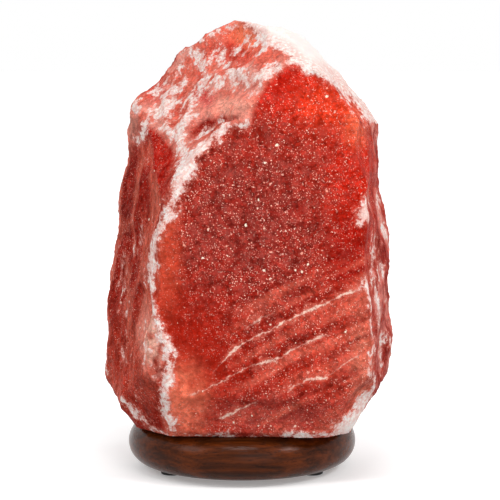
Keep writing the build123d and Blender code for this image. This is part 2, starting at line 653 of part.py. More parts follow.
with BuildPart() as bulb_insulator:
    with BuildSketch(Plane.XY.offset(insulator_bottom)):
        Circle(INSULATOR_DIAMETER / 2)
    with BuildSketch(Plane.XY.offset(cap_bottom)):
        Circle(CAP_LIP_DIAMETER / 2 - FIT_GAP)
    loft()
    with BuildSketch(Plane.XY.offset(insulator_bottom)):
        Circle(TIP_STEM_DIAMETER / 2 + TURN_GAP)
    extrude(amount=INSULATOR_HEIGHT, mode=Mode.SUBTRACT)
save(bulb_insulator.part, "bulb_insulator")

with BuildPart() as bulb_cap:
    with BuildSketch(Plane.XY.offset(cap_bottom)):
        Circle(CAP_DIAMETER / 2)
    extrude(amount=CAP_HEIGHT)
    with BuildSketch(Plane.XY.offset(cap_top - CAP_SKIRT_HEIGHT)):
        Circle(CAP_SKIRT_DIAMETER / 2)
    extrude(amount=CAP_SKIRT_HEIGHT)
    with BuildSketch(Plane.XY.offset(cap_bottom)):
        Circle(CAP_LIP_DIAMETER / 2 - SHELL_WALL)
    extrude(amount=CAP_HEIGHT, mode=Mode.SUBTRACT)
    with BuildSketch(Plane.XY.offset(cap_bottom + CAP_WALL)):
        Circle(CAP_DIAMETER / 2 - CAP_WALL)
    extrude(amount=CAP_HEIGHT, mode=Mode.SUBTRACT)
save(bulb_cap.part, "bulb_cap")

with BuildPart() as bulb_glass:
    neck_top = cap_top
    shoulder = neck_top + GLASS_FLARE_HEIGHT
    for shrink, mode in ((0, Mode.ADD), (GLASS_WALL, Mode.SUBTRACT)):
        dome = glass_radius - shrink
        neck = neck_radius - shrink
        dome_base = glass_top - glass_radius
        with BuildSketch(Plane.XZ):
            with BuildLine():
                Line((0, glass_bottom), (neck, glass_bottom))
                Line((neck, glass_bottom), (neck, neck_top))
                Spline(
                    (neck, neck_top), (dome, shoulder),
                    tangents=((0, 1), (0, 1)),
                )
                Line((dome, shoulder), (dome, dome_base))
                RadiusArc((dome, dome_base), (0, dome_base + dome), -dome)
                Line((0, dome_base + dome), (0, glass_bottom))
            make_face()
        revolve(axis=Axis.Z, mode=mode)
save(bulb_glass.part, "bulb_glass")

with BuildPart() as bulb_stem:
    with BuildSketch(Plane.XY.offset(glass_bottom)):
        Circle(neck_radius - GLASS_WALL - FIT_GAP)
    extrude(amount=FLARE_THICKNESS)
    with BuildSketch(Plane.XY.offset(glass_bottom)):
        Circle(STEM_DIAMETER / 2)
    extrude(amount=FLARE_THICKNESS + STEM_HEIGHT)
    with BuildSketch(Plane.XY.offset(bead_top - STEM_BEAD_HEIGHT)):
        Circle(STEM_BEAD_DIAMETER / 2)
    extrude(amount=STEM_BEAD_HEIGHT)
save(bulb_stem.part, "bulb_stem")

with BuildPart() as bulb_leads:
    for way in (-1, 1):
        foot = (way * LEAD_FOOT, 0, bead_top)
        elbow = (way * LEAD_FOOT, 0, bead_top + LEAD_FOOT)
        end = (way * LEAD_SPREAD, 0, lead_top)
        with BuildLine():
            lead_path = Polyline(foot, elbow, end)
        with BuildSketch(Plane(origin=foot, z_dir=(0, 0, 1))):
            Circle(LEAD_DIAMETER / 2)
        sweep(path=lead_path, transition=Transition.RIGHT)
save(bulb_leads.part, "bulb_leads")

with BuildPart() as bulb_filament:
    filament_reach = LEAD_SPREAD + LEAD_DIAMETER / 2
    filament_height = lead_top + LEAD_DIAMETER / 2 + FILAMENT_DIAMETER / 2 + TOUCH_GAP
    with BuildLine() as filament_path:
        ThreePointArc(
            (-filament_reach, 0, filament_height),
            (0, 0, filament_height + FILAMENT_RISE),
            (filament_reach, 0, filament_height),
        )
    with BuildSketch(Plane(origin=filament_path.line @ 0, z_dir=filament_path.line % 0)):
        Circle(FILAMENT_DIAMETER / 2)
    sweep()
save(bulb_filament.part, "bulb_filament")
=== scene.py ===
from math import cos, pi, radians, sin

import bmesh
import bpy
import numpy as np
from mathutils import Matrix, Vector, noise


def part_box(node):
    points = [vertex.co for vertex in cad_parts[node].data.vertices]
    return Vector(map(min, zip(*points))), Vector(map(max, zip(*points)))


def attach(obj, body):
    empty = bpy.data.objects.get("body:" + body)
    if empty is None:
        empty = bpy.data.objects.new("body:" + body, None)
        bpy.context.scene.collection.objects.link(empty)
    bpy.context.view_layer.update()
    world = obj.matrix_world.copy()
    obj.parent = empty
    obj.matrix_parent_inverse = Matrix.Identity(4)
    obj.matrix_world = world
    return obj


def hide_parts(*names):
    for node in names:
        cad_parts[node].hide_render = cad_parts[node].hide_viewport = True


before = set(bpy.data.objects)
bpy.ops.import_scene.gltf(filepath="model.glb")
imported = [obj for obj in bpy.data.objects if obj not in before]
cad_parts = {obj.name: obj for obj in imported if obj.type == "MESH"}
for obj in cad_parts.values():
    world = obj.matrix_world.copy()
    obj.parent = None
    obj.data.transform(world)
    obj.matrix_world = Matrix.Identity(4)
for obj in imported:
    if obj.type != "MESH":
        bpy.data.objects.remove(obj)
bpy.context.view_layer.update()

# Salt crystal lamp. A hewn block of rock salt stands on a turned walnut base, and a sprung lamp holder
# goes up into both from below. +Z is up and the flat front of the salt looks along -Y. Sizes are in
# millimetres where they don't say otherwise, and MM turns them into the metres of the objects.


# ---- Wooden base ----
# A walnut disc turned on a lathe from a board, so its grain runs straight across it. The edge is a full
# half round, sanded and sealed with a thin satin oil.

MM = 1000.0


def linear(hex_colour):
    """An sRGB hex colour as the linear colour that a shader takes."""
    parts = [int(hex_colour[i:i + 2], 16) / 255 for i in (1, 3, 5)]
    return tuple(c / 12.92 if c <= 0.04045 else ((c + 0.055) / 1.055) ** 2.4 for c in parts) + (1.0,)


def finish(name):
    """A new material with one Principled shader, and that shader."""
    material = bpy.data.materials.new(name)
    material.use_nodes = True
    return material, material.node_tree.nodes["Principled BSDF"]


def feed(material, node, inputs):
    """Gives a node's sockets, by name or number, their values or what feeds them."""
    for socket, value in inputs.items():
        if isinstance(value, bpy.types.NodeSocket):
            material.node_tree.links.new(value, node.inputs[socket])
        else:
            node.inputs[socket].default_value = value


def add(material, kind, inputs, **settings):
    """Adds a node to a material, with its settings and its inputs, and gives its outputs."""
    made = material.node_tree.nodes.new("ShaderNode" + kind)
    for setting, value in settings.items():
        setattr(made, setting, value)
    feed(material, made, inputs)
    return made.outputs


def coat(node, material):
    """Gives a carried-over CAD solid its finish."""
    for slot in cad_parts[node].material_slots:
        slot.material = material


def grained(name, dark, pale, rough, patch, relief, metallic=0.0, stretch=(1.0, 1.0, 1.0)):
    """A finish that clouds between two colours, in patches of so many millimetres, with a relief of so many
    micrometres. rough is the roughness of the dark and of the pale patches; stretch draws them out."""
    material, skin = finish(name)
    where = add(material, "TexCoord", {})["Object"]
    drawn = add(material, "Mapping", {"Vector": where, "Scale": stretch})[0]
    clouds = add(material, "TexNoise", {"Vector": drawn, "Scale": MM / patch, "Detail": 4.0,
                                        "Roughness": 0.6})
    grit = add(material, "TexNoise", {"Vector": drawn, "Scale": 9 * MM / patch, "Detail": 2.0})
    tint = add(material, "Mix", {0: clouds["Fac"], 6: linear(dark), 7: linear(pale)}, data_type="RGBA")
    gloss = add(material, "MapRange", {0: clouds["Fac"], 1: 0.3, 2: 0.7, 3: rough[0], 4: rough[1]})
    bump = add(material, "Bump", {"Strength": 0.4, "Distance": relief / 1e6, "Height": grit["Fac"]})
    feed(material, skin, {"Base Color": tint[2], "Roughness": gloss[0], "Normal": bump[0],
                          "Metallic": metallic})
    return material


# Oiled walnut: dark brown, with long darker and lighter streaks along the grain and short dark pores.
# The oil leaves a soft shine that follows the pores a little. The patterns' scales along the grain, across
# it and up, per metre, give streaks of 200 by 5 mm, fibres of 20 by 1.2 mm, and pores of 7 by 0.7 mm, which
# are coarser than real ones so that they show.
STREAKS, FIBRES, PORES = (5, 190, 330), (50, 800, 1100), (150, 1500, 1500)
BOARD_TILT = (0.0, radians(2), radians(3))
walnut, skin = finish("oiled_walnut")
where = add(walnut, "TexCoord", {})["Object"]
streak_place = add(walnut, "Mapping", {"Vector": where, "Rotation": BOARD_TILT, "Scale": STREAKS})[0]
streaks = add(walnut, "TexNoise", {"Vector": streak_place, "Scale": 1.0, "Detail": 4.0, "Roughness": 0.6,
                                   "Distortion": 0.5})
fibre_place = add(walnut, "Mapping", {"Vector": where, "Scale": FIBRES})[0]
fibres = add(walnut, "TexNoise", {"Vector": fibre_place, "Scale": 1.0, "Detail": 3.0, "Roughness": 0.6})
pore_place = add(walnut, "Mapping", {"Vector": where, "Scale": PORES})[0]
pores = add(walnut, "TexNoise", {"Vector": pore_place, "Scale": 1.0, "Detail": 1.0})
board = add(walnut, "MapRange", {0: streaks["Fac"], 1: 0.30, 2: 0.72}, interpolation_type="SMOOTHSTEP")
tone = add(walnut, "Mix", {0: board[0], 6: linear("#331505"), 7: linear("#602A0B")}, data_type="RGBA")
fibre = add(walnut, "MapRange", {0: fibres["Fac"], 1: 0.3, 2: 0.7, 3: 0.80, 4: 1.20})
pore = add(walnut, "MapRange", {0: pores["Fac"], 1: 0.60, 2: 0.70, 3: 1.0, 4: 0.55})
dark = add(walnut, "Math", {0: fibre[0], 1: pore[0]}, operation="MULTIPLY")
tint = add(walnut, "VectorMath", {0: tone[2], "Scale": dark[0]}, operation="SCALE")
gloss = add(walnut, "MapRange", {0: fibres["Fac"], 1: 0.3, 2: 0.7, 3: 0.23, 4: 0.17})
relief = add(walnut, "Bump", {"Strength": 0.25, "Distance": 0.0004, "Height": dark[0]})
feed(walnut, skin, {"Base Color": tint[0], "Roughness": gloss[0], "Normal": relief[0], "IOR": 1.5,
                    "Specular IOR Level": 0.10})
coat("wood_base", walnut)


# ---- Rubber feet and their screws ----
# Three moulded rubber buttons, set into the underside. A small zinc-plated wood screw with a cross
# recess holds each of them, its head sunk well above the table.

FOOT_CIRCLE = 40.5
FOOT_SCREW_SEAT = 2.4
SMOOTH_TO = radians(35)  # an edge that turns by more stays sharp


def turn(shape, profile, middle=(0.0, 0.0), steps=40, closed=True):
    """Turns a section, (radius, height) in millimetres, once round the upright axis through middle."""
    spots = [shape.verts.new(((middle[0] + r) / MM, middle[1] / MM, h / MM)) for r, h in profile]
    lines = [shape.edges.new(pair) for pair in zip(spots, spots[1:] + spots[:1] * closed)]
    bmesh.ops.spin(shape, geom=spots + lines, cent=(middle[0] / MM, middle[1] / MM, 0), axis=(0, 0, 1),
                   angle=2 * pi, steps=steps, use_merge=True)


def polar(radius, count, first):
    """Places round the lamp's axis, in millimetres."""
    return [(radius * cos(radians(first + 360 * i / count)), radius * sin(radians(first + 360 * i / count)))
            for i in range(count)]


def put(name, data):
    """An object of that mesh, curve, lamp or camera, in the scene."""
    thing = bpy.data.objects.new(name, data)
    bpy.context.scene.collection.objects.link(thing)
    return thing


def meshed(name, shape):
    """The mesh of a shape, which is used up."""
    mesh = bpy.data.meshes.new(name)
    shape.to_mesh(mesh)
    shape.free()
    return mesh


def evaluated(thing):
    """The mesh of an object with its modifiers applied."""
    return bpy.data.meshes.new_from_object(thing.evaluated_get(bpy.context.evaluated_depsgraph_get()))


def stand(name, shape):
    """Closes a shape's seams, points its faces outwards and makes it an object."""
    bmesh.ops.remove_doubles(shape, verts=shape.verts, dist=2e-6)
    bmesh.ops.recalc_face_normals(shape, faces=shape.faces)
    mesh = meshed(name, shape)
    mesh.shade_smooth()
    mesh.set_sharp_from_angle(angle=SMOOTH_TO)
    return put(name, mesh)


def cut(thing, cutter, use_self=False):
    """Takes the cutter's shape out of a thing, and removes the cutter."""
    hole = thing.modifiers.new("cut", "BOOLEAN")
    hole.object, hole.operation, hole.solver, hole.use_self = cutter, "DIFFERENCE", "EXACT", use_self
    thing.data = evaluated(thing)
    thing.modifiers.clear()
    bpy.data.objects.remove(cutter)


def dress(thing, material, body, slot, *nodes):
    """Gives a new piece its finish and its body, and hides the CAD solids that it stands for. Its slot is
    not used.
    """
    thing.data.materials.clear()
    thing.data.materials.append(material)
    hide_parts(*nodes)
    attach(thing, body)


# Moulded rubber: near black, dull, with the fine grain of a spark-eroded mould.
rubber = grained("moulded_rubber", "#121111", "#232020", (0.62, 0.80), 5.0, 40)
feet = bmesh.new()
foot_places = polar(FOOT_CIRCLE, 3, 90)
for spot in foot_places:
    turn(feet, [(1.35, 5.0), (5.5, 5.0), (5.5, 0.7), (5.42, 0.38), (5.2, 0.14), (4.85, 0.0), (3.3, 0.0),
                (3.07, 0.1), (3.0, 0.3), (3.0, 2.4), (1.35, 2.4)], spot)
dress(stand("moulded_feet", feet), rubber, "lamp_body", "foot_rubber", "rubber_feet")


def screw(head, rise, shank, length, pitch):
    """A pan-head screw with a cross recess: its head's seat lies at height 0 and its thread points up."""
    shape = bmesh.new()
    # radii of the head, of the thread's crest and of its root, and the height where the point begins
    edge, crest, root, tip = head / 2, shank / 2, shank / 2 - 0.14 * shank, length - 1.2 * shank
    profile = [(0.0, -rise), (0.55 * edge, -rise), (0.8 * edge, -0.85 * rise), (0.97 * edge, -0.5 * rise),
               (edge, -0.2 * rise), (edge, 0.0), (crest - 0.1, 0.0)]
    turns = int(tip / pitch)
    for i in range(turns):
        low = tip - (turns - i) * pitch
        profile += [(root, low), (crest, low + 0.5 * pitch)]
    profile += [(root, tip), (0.0, length)]
    turn(shape, profile, steps=28, closed=False)
    made = stand("screw", shape)
    # the recess has two crossed arms, in shares of the head, that narrow to their foot
    arm, arm_width, narrowing = 0.62, 0.15, 0.6
    cross = bmesh.new()
    for across, along in ((arm, arm_width), (arm_width, arm)):
        sides = Matrix.Diagonal((head * across / MM, head * along / MM, rise * 1.3 / MM, 1))
        bmesh.ops.create_cube(cross, size=1.0, matrix=Matrix.Translation((0, 0, -rise / MM)) @ sides)
    for corner in cross.verts:
        if corner.co.z > -rise / MM:
            corner.co.x *= narrowing
            corner.co.y *= narrowing
    cut(made, put("recess", meshed("cross", cross)), use_self=True)
    driven = made.data
    bpy.data.objects.remove(made)
    return driven


def drive(name, one, places):
    """Copies of one screw at those places as one object."""
    shape = bmesh.new()
    for place in places:
        copy = one.copy()
        copy.transform(place)
        shape.from_mesh(copy)
        bpy.data.meshes.remove(copy)
    return stand(name, shape)


def upright(spots, seat, twist=25):
    """Places for screws that point up, with their heads' seats at that height."""
    places = []
    for i, (x, y) in enumerate(spots):
        turned = Matrix.Rotation(radians(twist * i + 10), 4, "Z")
        places.append(Matrix.Translation((x / MM, y / MM, seat / MM)) @ turned)
    return places


# Zinc-plated steel: bright and faintly blue, clouded where the plating is thinner.
zinc = grained("zinc_plated_steel", "#8D9196", "#C3C7CC", (0.24, 0.42), 1.6, 25, metallic=1.0)
foot_screw = screw(head=5.5, rise=1.5, shank=2.5, length=12.0, pitch=1.1)
foot_screws = drive("cross_foot_screws", foot_screw, upright(foot_places, FOOT_SCREW_SEAT))
dress(foot_screws, zinc, "lamp_body", "zinc_steel", "foot_screws")


# ---- Salt crystal ----
# One block of pink rock salt, split off with hammer and chisel. The bottom is sawn flat, and a bore for
# the bulb and three holes for wall plugs are drilled into it. Only hewn, so every face is a break.

SKIN_VOXEL = 1.25
SCREW_CIRCLE = 36.85
BORE, BORE_TOP, PLUG_HOLE, PLUG_HOLE_TOP = 25, 116.4, 4.05, 54.45

# Bruised, pale salt of the front, across and up. Each point of a line also has half the line's width there,
# and the first three lines stand up as ridges. The first patch runs on over the top.
PALE_LINES = [
    [(4, 178, 0.9), (-8, 177, 1.2), (-14, 172, 2.6), (-20, 166, 3.2), (-26, 161, 4.5), (-29, 154, 5.0),
     (-32, 145, 2.6), (-35, 138, 1.8), (-37, 130, 1.6), (-42, 123, 2.4), (-44, 113, 2.6), (-45, 102, 1.5),
     (-44, 93, 0.9), (-42, 85, 0.9), (-39, 76, 1.8), (-36, 70, 2.6), (-35, 62, 1.8), (-36, 54, 1.2),
     (-37, 46, 2.0), (-36, 36, 1.6), (-34, 29, 1.8)],
    [(-30, 164, 2.2), (-31, 169, 2.2), (-28, 174, 2.0), (-27, 180, 2.4), (-25, 189, 1.2)],
    [(-36, 170, 1.4), (-37, 175, 1.8), (-38, 181, 1.8), (-38, 187, 1.6), (-31, 192, 1.4), (-28, 196, 0.8)],
    [(-5, 194, 1.2), (2, 198, 1.8), (8, 199, 1.8), (13, 203, 1.6), (24, 208, 1.6)],
    [(-52, 164, 0.5), (-49, 171, 1.2), (-47, 178, 0.6)],
    [(65, 140, 0.8), (65, 124, 0.6), (64, 114, 0.5), (63, 107, 0.7), (61, 98, 2.4), (63, 89, 0.8),
     (65, 76, 0.7), (65, 66, 1.0), (65, 56, 1.8), (65, 48, 1.4)],
    [(-60, 62, 0.3), (-59, 56, 1.0), (-59, 52, 0.3)],
    [(-64, 44, -0.8), (-54, 33, 0.3), (-44, 27, 0.8), (-36, 24, 0.0)],
    [(-45, 88, -0.6), (-47, 80, 0.8), (-50, 73, 0.2), (-45, 69, 1.0), (-42, 60, -0.2)],
    [(-36, 24, 0.0), (-12, 24, 0.8), (8, 24, -0.4), (26, 25, 1.2), (52, 27, 1.6)],
]
PALE_PATCHES = [
    [(-1, 224), (11, 215), (21, 211), (29, 204), (34, 202), (41, 198), (45, 195), (50, 190), (57, 184),
     (61, 179), (64, 173), (67, 166), (95, 166), (95, 245), (-1, 245)],
    [(60, 141), (55, 136), (57, 130), (63, 128), (66, 134)],
    [(61, 46), (54, 36), (44, 32), (46, 20), (90, 20), (90, 46)],
    [(-10, 204), (-2, 204), (5, 199), (3, 194), (-5, 197)],
]


def share(values):
    """Values held between 0 and 1."""
    return np.clip(values, 0, 1)


def line_reach(across, up, line):
    """How far inside a tapering line each point lies, in millimetres; negative outside it."""
    best = np.full(len(across), -1e3)
    for (x0, z0, w0), (x1, z1, w1) in zip(line, line[1:]):
        dx, dz = x1 - x0, z1 - z0
        t = share(((across - x0) * dx + (up - z0) * dz) / (dx * dx + dz * dz))
        away = np.hypot(across - x0 - t * dx, up - z0 - t * dz)
        best = np.maximum(best, w0 + t * (w1 - w0) - away)
    return best


def patch_reach(across, up, corners):
    """How far inside a closed outline each point lies, in millimetres; negative outside it."""
    closed = [*corners, corners[0]]
    edge = -line_reach(across, up, [(x, z, 0.0) for x, z in closed])
    inside = np.zeros(len(across), bool)
    for (x0, z0), (x1, z1) in zip(closed, closed[1:]):
        crosses = (z0 > up) != (z1 > up)
        inside ^= crosses & (across < x0 + (up - z0) * (x1 - x0) / ((z1 - z0) or 1e-9))
    return np.where(inside, edge, -edge)


def blur(values, edges, counts, times):
    """Averages each vertex with its neighbours, as often as times says."""
    for _ in range(times):
        total = np.zeros_like(values)
        np.add.at(total, edges[:, 0], values[edges[:, 1]])
        np.add.at(total, edges[:, 1], values[edges[:, 0]])
        values = 0.4 * values + 0.6 * total / counts[:, None]
    return values


def swell(points, size, depth, seed):
    """Smooth seeded noise at each point, from -1 to 1, with lumps of that size and depth finer ones."""
    shift = Vector((seed, 2.7 * seed, -1.3 * seed))
    return np.array([noise.fractal(Vector(p) / size + shift, 0.6, 2.1, depth) for p in points])


# the chisel's bowls, across, deep and up: tall ones on the left, wide ones all round, small ones over all,
# and chunky ones on the shoulder
BOWLS = [np.array(size) for size in (
    (15.0, 15.0, 34.0), (27.0, 27.0, 38.0), (8.0, 8.0, 11.0), (15.0, 15.0, 10.0))]


def bowls(points, size):
    """Shallow bowls with sharp rims between them, as a chisel leaves. For each point: how high it stands in
    its bowl from 0 to 1, how far it is from the rim, and a number for its bowl from 0 to 1."""
    height, rim, own = [], [], []
    for p in points:
        away, middles = noise.voronoi(Vector(p / size))
        height.append(min(away[0], 1.0) ** 2)
        rim.append((away[1] - away[0]) / 2)
        own.append(noise.cell(middles[0] * 7.31))
    return np.array(height), np.array(rim) * min(size), np.array(own) % 1.0


plug_places = polar(SCREW_CIRCLE, 3, 30)


def drills(shape, foot, wider=0.0):
    """What the bore for the bulb and the holes for the wall plugs take out, from a height of foot up."""
    bore, top, hole, hole_top = BORE + wider, BORE_TOP + wider, PLUG_HOLE + wider, PLUG_HOLE_TOP + wider
    turn(shape, [(0, foot), (bore, foot), (bore, BORE_TOP - 6), (bore - 0.8, BORE_TOP - 3),
                 (bore - 3, BORE_TOP - 0.8), (bore - 6, top), (0, top)], steps=72, closed=False)
    for spot in plug_places:
        turn(shape, [(0, foot), (hole, foot), (hole, hole_top), (0, hole_top)], spot, steps=24,
             closed=False)


# the hewn block, from the drawn solid with its bores filled
block = bmesh.new()
block.from_mesh(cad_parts["salt_crystal"].data)
bmesh.ops.remove_doubles(block, verts=block.verts, dist=1e-6)
drills(block, foot=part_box("salt_crystal")[0].z * MM, wider=0.6)
bmesh.ops.remove_doubles(block, verts=block.verts, dist=1e-6)
bmesh.ops.recalc_face_normals(block, faces=block.faces[:])
hewn_salt = put("hewn_salt", meshed("hewn_salt", block))
remesh = hewn_salt.modifiers.new("skin", "REMESH")
remesh.mode = "VOXEL"
remesh.voxel_size = SKIN_VOXEL / MM
hewn_salt.data = evaluated(hewn_salt)
hewn_salt.modifiers.clear()
mesh = hewn_salt.data


def read_mesh(mesh, smoothing):
    """A mesh's points in millimetres, its normals, its edges, how many edges meet at each point, and the
    mean way that the surface faces round each point."""
    points, normals = np.zeros(len(mesh.vertices) * 3), np.zeros(len(mesh.vertices) * 3)
    mesh.vertices.foreach_get("co", points)
    mesh.vertices.foreach_get("normal", normals)
    edges = np.zeros(len(mesh.edges) * 2, int)
    mesh.edges.foreach_get("vertices", edges)
    points, normals, edges = points.reshape(-1, 3) * MM, normals.reshape(-1, 3), edges.reshape(-1, 2)
    counts = np.bincount(edges.ravel(), minlength=len(points))
    facing = blur(normals, edges, counts, smoothing)
    facing /= np.maximum(np.linalg.norm(facing, axis=1), 1e-6)[:, None]
    return points, normals, edges, counts, facing


# outlines of the flat front, of the broken shoulder above it and of the pocket between them, across and up
FRONT_FACE = [
    (-40, 10), (-36, 36), (-37, 46), (-36, 54), (-35, 62), (-36, 70), (-39, 76), (-42, 85), (-44, 93),
    (-45, 102), (-44, 113), (-42, 123), (-37, 130), (-35, 138), (-32, 145), (-29, 154), (-24, 160),
    (-14, 172), (-8, 177), (4, 178), (8, 190), (13, 197), (24, 208), (29, 204), (41, 198), (57, 184),
    (64, 173), (66, 140), (65, 124), (64, 114), (63, 107), (63, 89), (65, 76), (65, 56), (65, 48), (60, 30),
    (50, 10),
]
SHOULDER = [
    (-30, 160), (-24, 160), (-14, 172), (-8, 177), (4, 178), (8, 190), (13, 197), (24, 208), (11, 215),
    (-1, 224), (-1, 250), (-80, 250), (-80, 190), (-40, 170),
]
POCKET = [(-25, 173), (-20, 177), (-12, 180), (-2, 181), (-9, 178), (-15, 174), (-21, 170), (-25, 170)]
# where the outline swells or falls back: middle across and up, reach across and up, move right and up
SWELLINGS = [
    (-14, 221, 14, 9, -7.5, 0.5), (-30, 209, 14, 8, -3.0, 1.0), (-53, 183, 10, 6, -4.0, 0.0),
    (-60, 156, 12, 9, 2.2, 0.0), (-62, 130, 12, 10, -2.0, 0.0), (-66, 78, 14, 20, -2.8, 0.0),
    (72, 142, 12, 8, -3.0, 0.0), (72, 100, 14, 26, 2.0, 0.0), (70, 66, 14, 12, 1.5, 0.0),
    (-66, 95, 22, 75, 3.0, 0.0), (-8, 219, 10, 8, 3.0, -0.5),
]


def zones(points, facing, blend):
    """From 0 to 1 for each point: how far it faces forwards, and how much it belongs to the flat front, the
    broken shoulder, the left side and the right side. The front's outline fades over blend."""
    x, _, z = points.T
    front = share((-facing[:, 1] - 0.05) * 3)
    face = front * share(patch_reach(x, z, FRONT_FACE) / blend + 0.5)
    shoulder = front * share(patch_reach(x, z, SHOULDER) / blend + 0.5) * (1 - face)
    left = share((-36 - x) / 4) * share((-facing[:, 0] - 0.3) * 4)
    left = left * (1 - face) * (1 - shoulder)
    right = front * share((x - 61) / 3) * (1 - face) * share((facing[:, 0] - 0.5) * 4)
    return front, face, shoulder, left, right


points, normals, edges, counts, facing = read_mesh(mesh, smoothing=30)
floor_of_salt = points[:, 2].min()
rounded = blur(points, edges, counts, times=4)
front, on_face, on_shoulder, on_left, _ = zones(rounded, facing, blend=5)
rest = (1 - on_face) * (1 - on_shoulder) * (1 - on_left)
x, _, z = rounded.T
ridges = np.maximum.reduce([line_reach(x, z, line) for line in PALE_LINES[:3]])
(tall, _, _), (wide, _, _), (small, _, _), (chunky, _, _) = (bowls(rounded, size) for size in BOWLS)
lumps = swell(rounded, 34, 2, 1.0)
grain = swell(rounded, 2.6, 3, 4.0)
# how far each point of the skin moves out, and less so near the sawn bottom
push = (
    0.6 * lumps
    + on_left * (2.2 * tall + 1.4 * small - 1.6)
    + rest * (1.6 * wide + 1.5 * small - 1.2)
    + on_shoulder * (2.4 * chunky + 1.8 * small - 1.4)
    + on_face * (1.2 * wide - 0.4)
    + (0.14 + 0.26 * (1 - on_face)) * grain
    + 1.3 * np.clip(ridges + 1.5, 0, 2.5) / 2.5 * front
    - 2.6 * share(patch_reach(x, z, POCKET) / 1.6 + 0.5) * front
)
seat = share((rounded[:, 2] - floor_of_salt - 0.4) / 9)
shaped = rounded + normals * (push * (0.12 + 0.88 * seat))[:, None]
# the front's foot stands forward, over the edge of the base
toe = front * share((42 - z) / 18) * share((64 - abs(x - 6)) / 34)
toe = 6.5 * toe * share((z - floor_of_salt + 3) / 6)
shaped[:, 1] -= toe * (1 + 0.25 * swell(rounded, 9, 2, 5.0))
for middle, height, across, up, right, rise in SWELLINGS:
    near = np.exp(-((x - middle) / across) ** 2 - ((z - height) / up) ** 2) * seat
    shaped[:, 0] += right * near
    shaped[:, 2] += rise * near
raised = np.maximum(shaped[:, 2], floor_of_salt)
shaped[:, 2] = np.where(points[:, 2] < floor_of_salt + 0.5, floor_of_salt, raised)
mesh.vertices.foreach_set("co", (shaped / MM).ravel())

drill = bmesh.new()
drills(drill, foot=20)
cut(hewn_salt, stand("drills", drill))
mesh = hewn_salt.data
mesh.shade_smooth()
mesh.set_sharp_from_angle(angle=radians(42))

# colours of the salt, painted where each band and stain lies, with painted light on its ridges and painted
# shade in its hollows
points, normals, edges, counts, facing = read_mesh(mesh, smoothing=20)
even = blur(points, edges, counts, times=12)
# how far each point stands out of the smoothed skin, which paints ridges lighter and hollows darker:
# painted light and shade
ridge_light_hollow_shade = ((points - even) * normals).sum(1)
front, on_face, on_shoulder, on_left, on_right = zones(points, facing, blend=3)
rest = (1 - on_face) * (1 - on_shoulder) * (1 - on_left) * (1 - on_right)
x, y, z = points.T
(_, tall_rim, tall_own), (_, wide_rim, wide_own), (_, small_rim, small_own), (_, chunky_rim, chunky_own) = (
    bowls(even, size) for size in BOWLS)
tone_noise = swell(points, 30, 3, 7.0)
stain_noise = swell(points * (1, 1, 0.5), 9, 3, 8.0)
crumb_noise = swell(points, 3.6, 2, 12.0)
# the beds of the salt dip to the left, a few millimetres apart
beds = swell(np.stack([(z - 0.52 * x + 0.3 * y) / 5.5, (x + 0.5 * z) / 46, y / 30], 1), 1.0, 2, 9.0)


def mix_in(paint, colour, weight):
    """Lays a colour over the painted ones, by a weight at each point."""
    w = share(weight)[:, None]
    return paint * (1 - w) + np.array(linear(colour)[:3]) * w


def spread(cx, cz, rx, rz):
    """A soft round stain, 1 in the middle, reaching rx across and rz up."""
    return np.exp(-1.1 * (((x - cx) / rx) ** 2 + ((z - cz) / rz) ** 2) ** 1.5)


def stained(here, cx, cz, rx, rz, strength):
    """The weight of a soft mottled stain within one part of the salt."""
    return here * (strength * (1.1 + 0.7 * crumb_noise)) * spread(cx, cz, rx, rz)


def within(here, reach):
    """A reach in one part of the salt, and far outside everywhere else."""
    return here * reach - 8 * (1 - here)


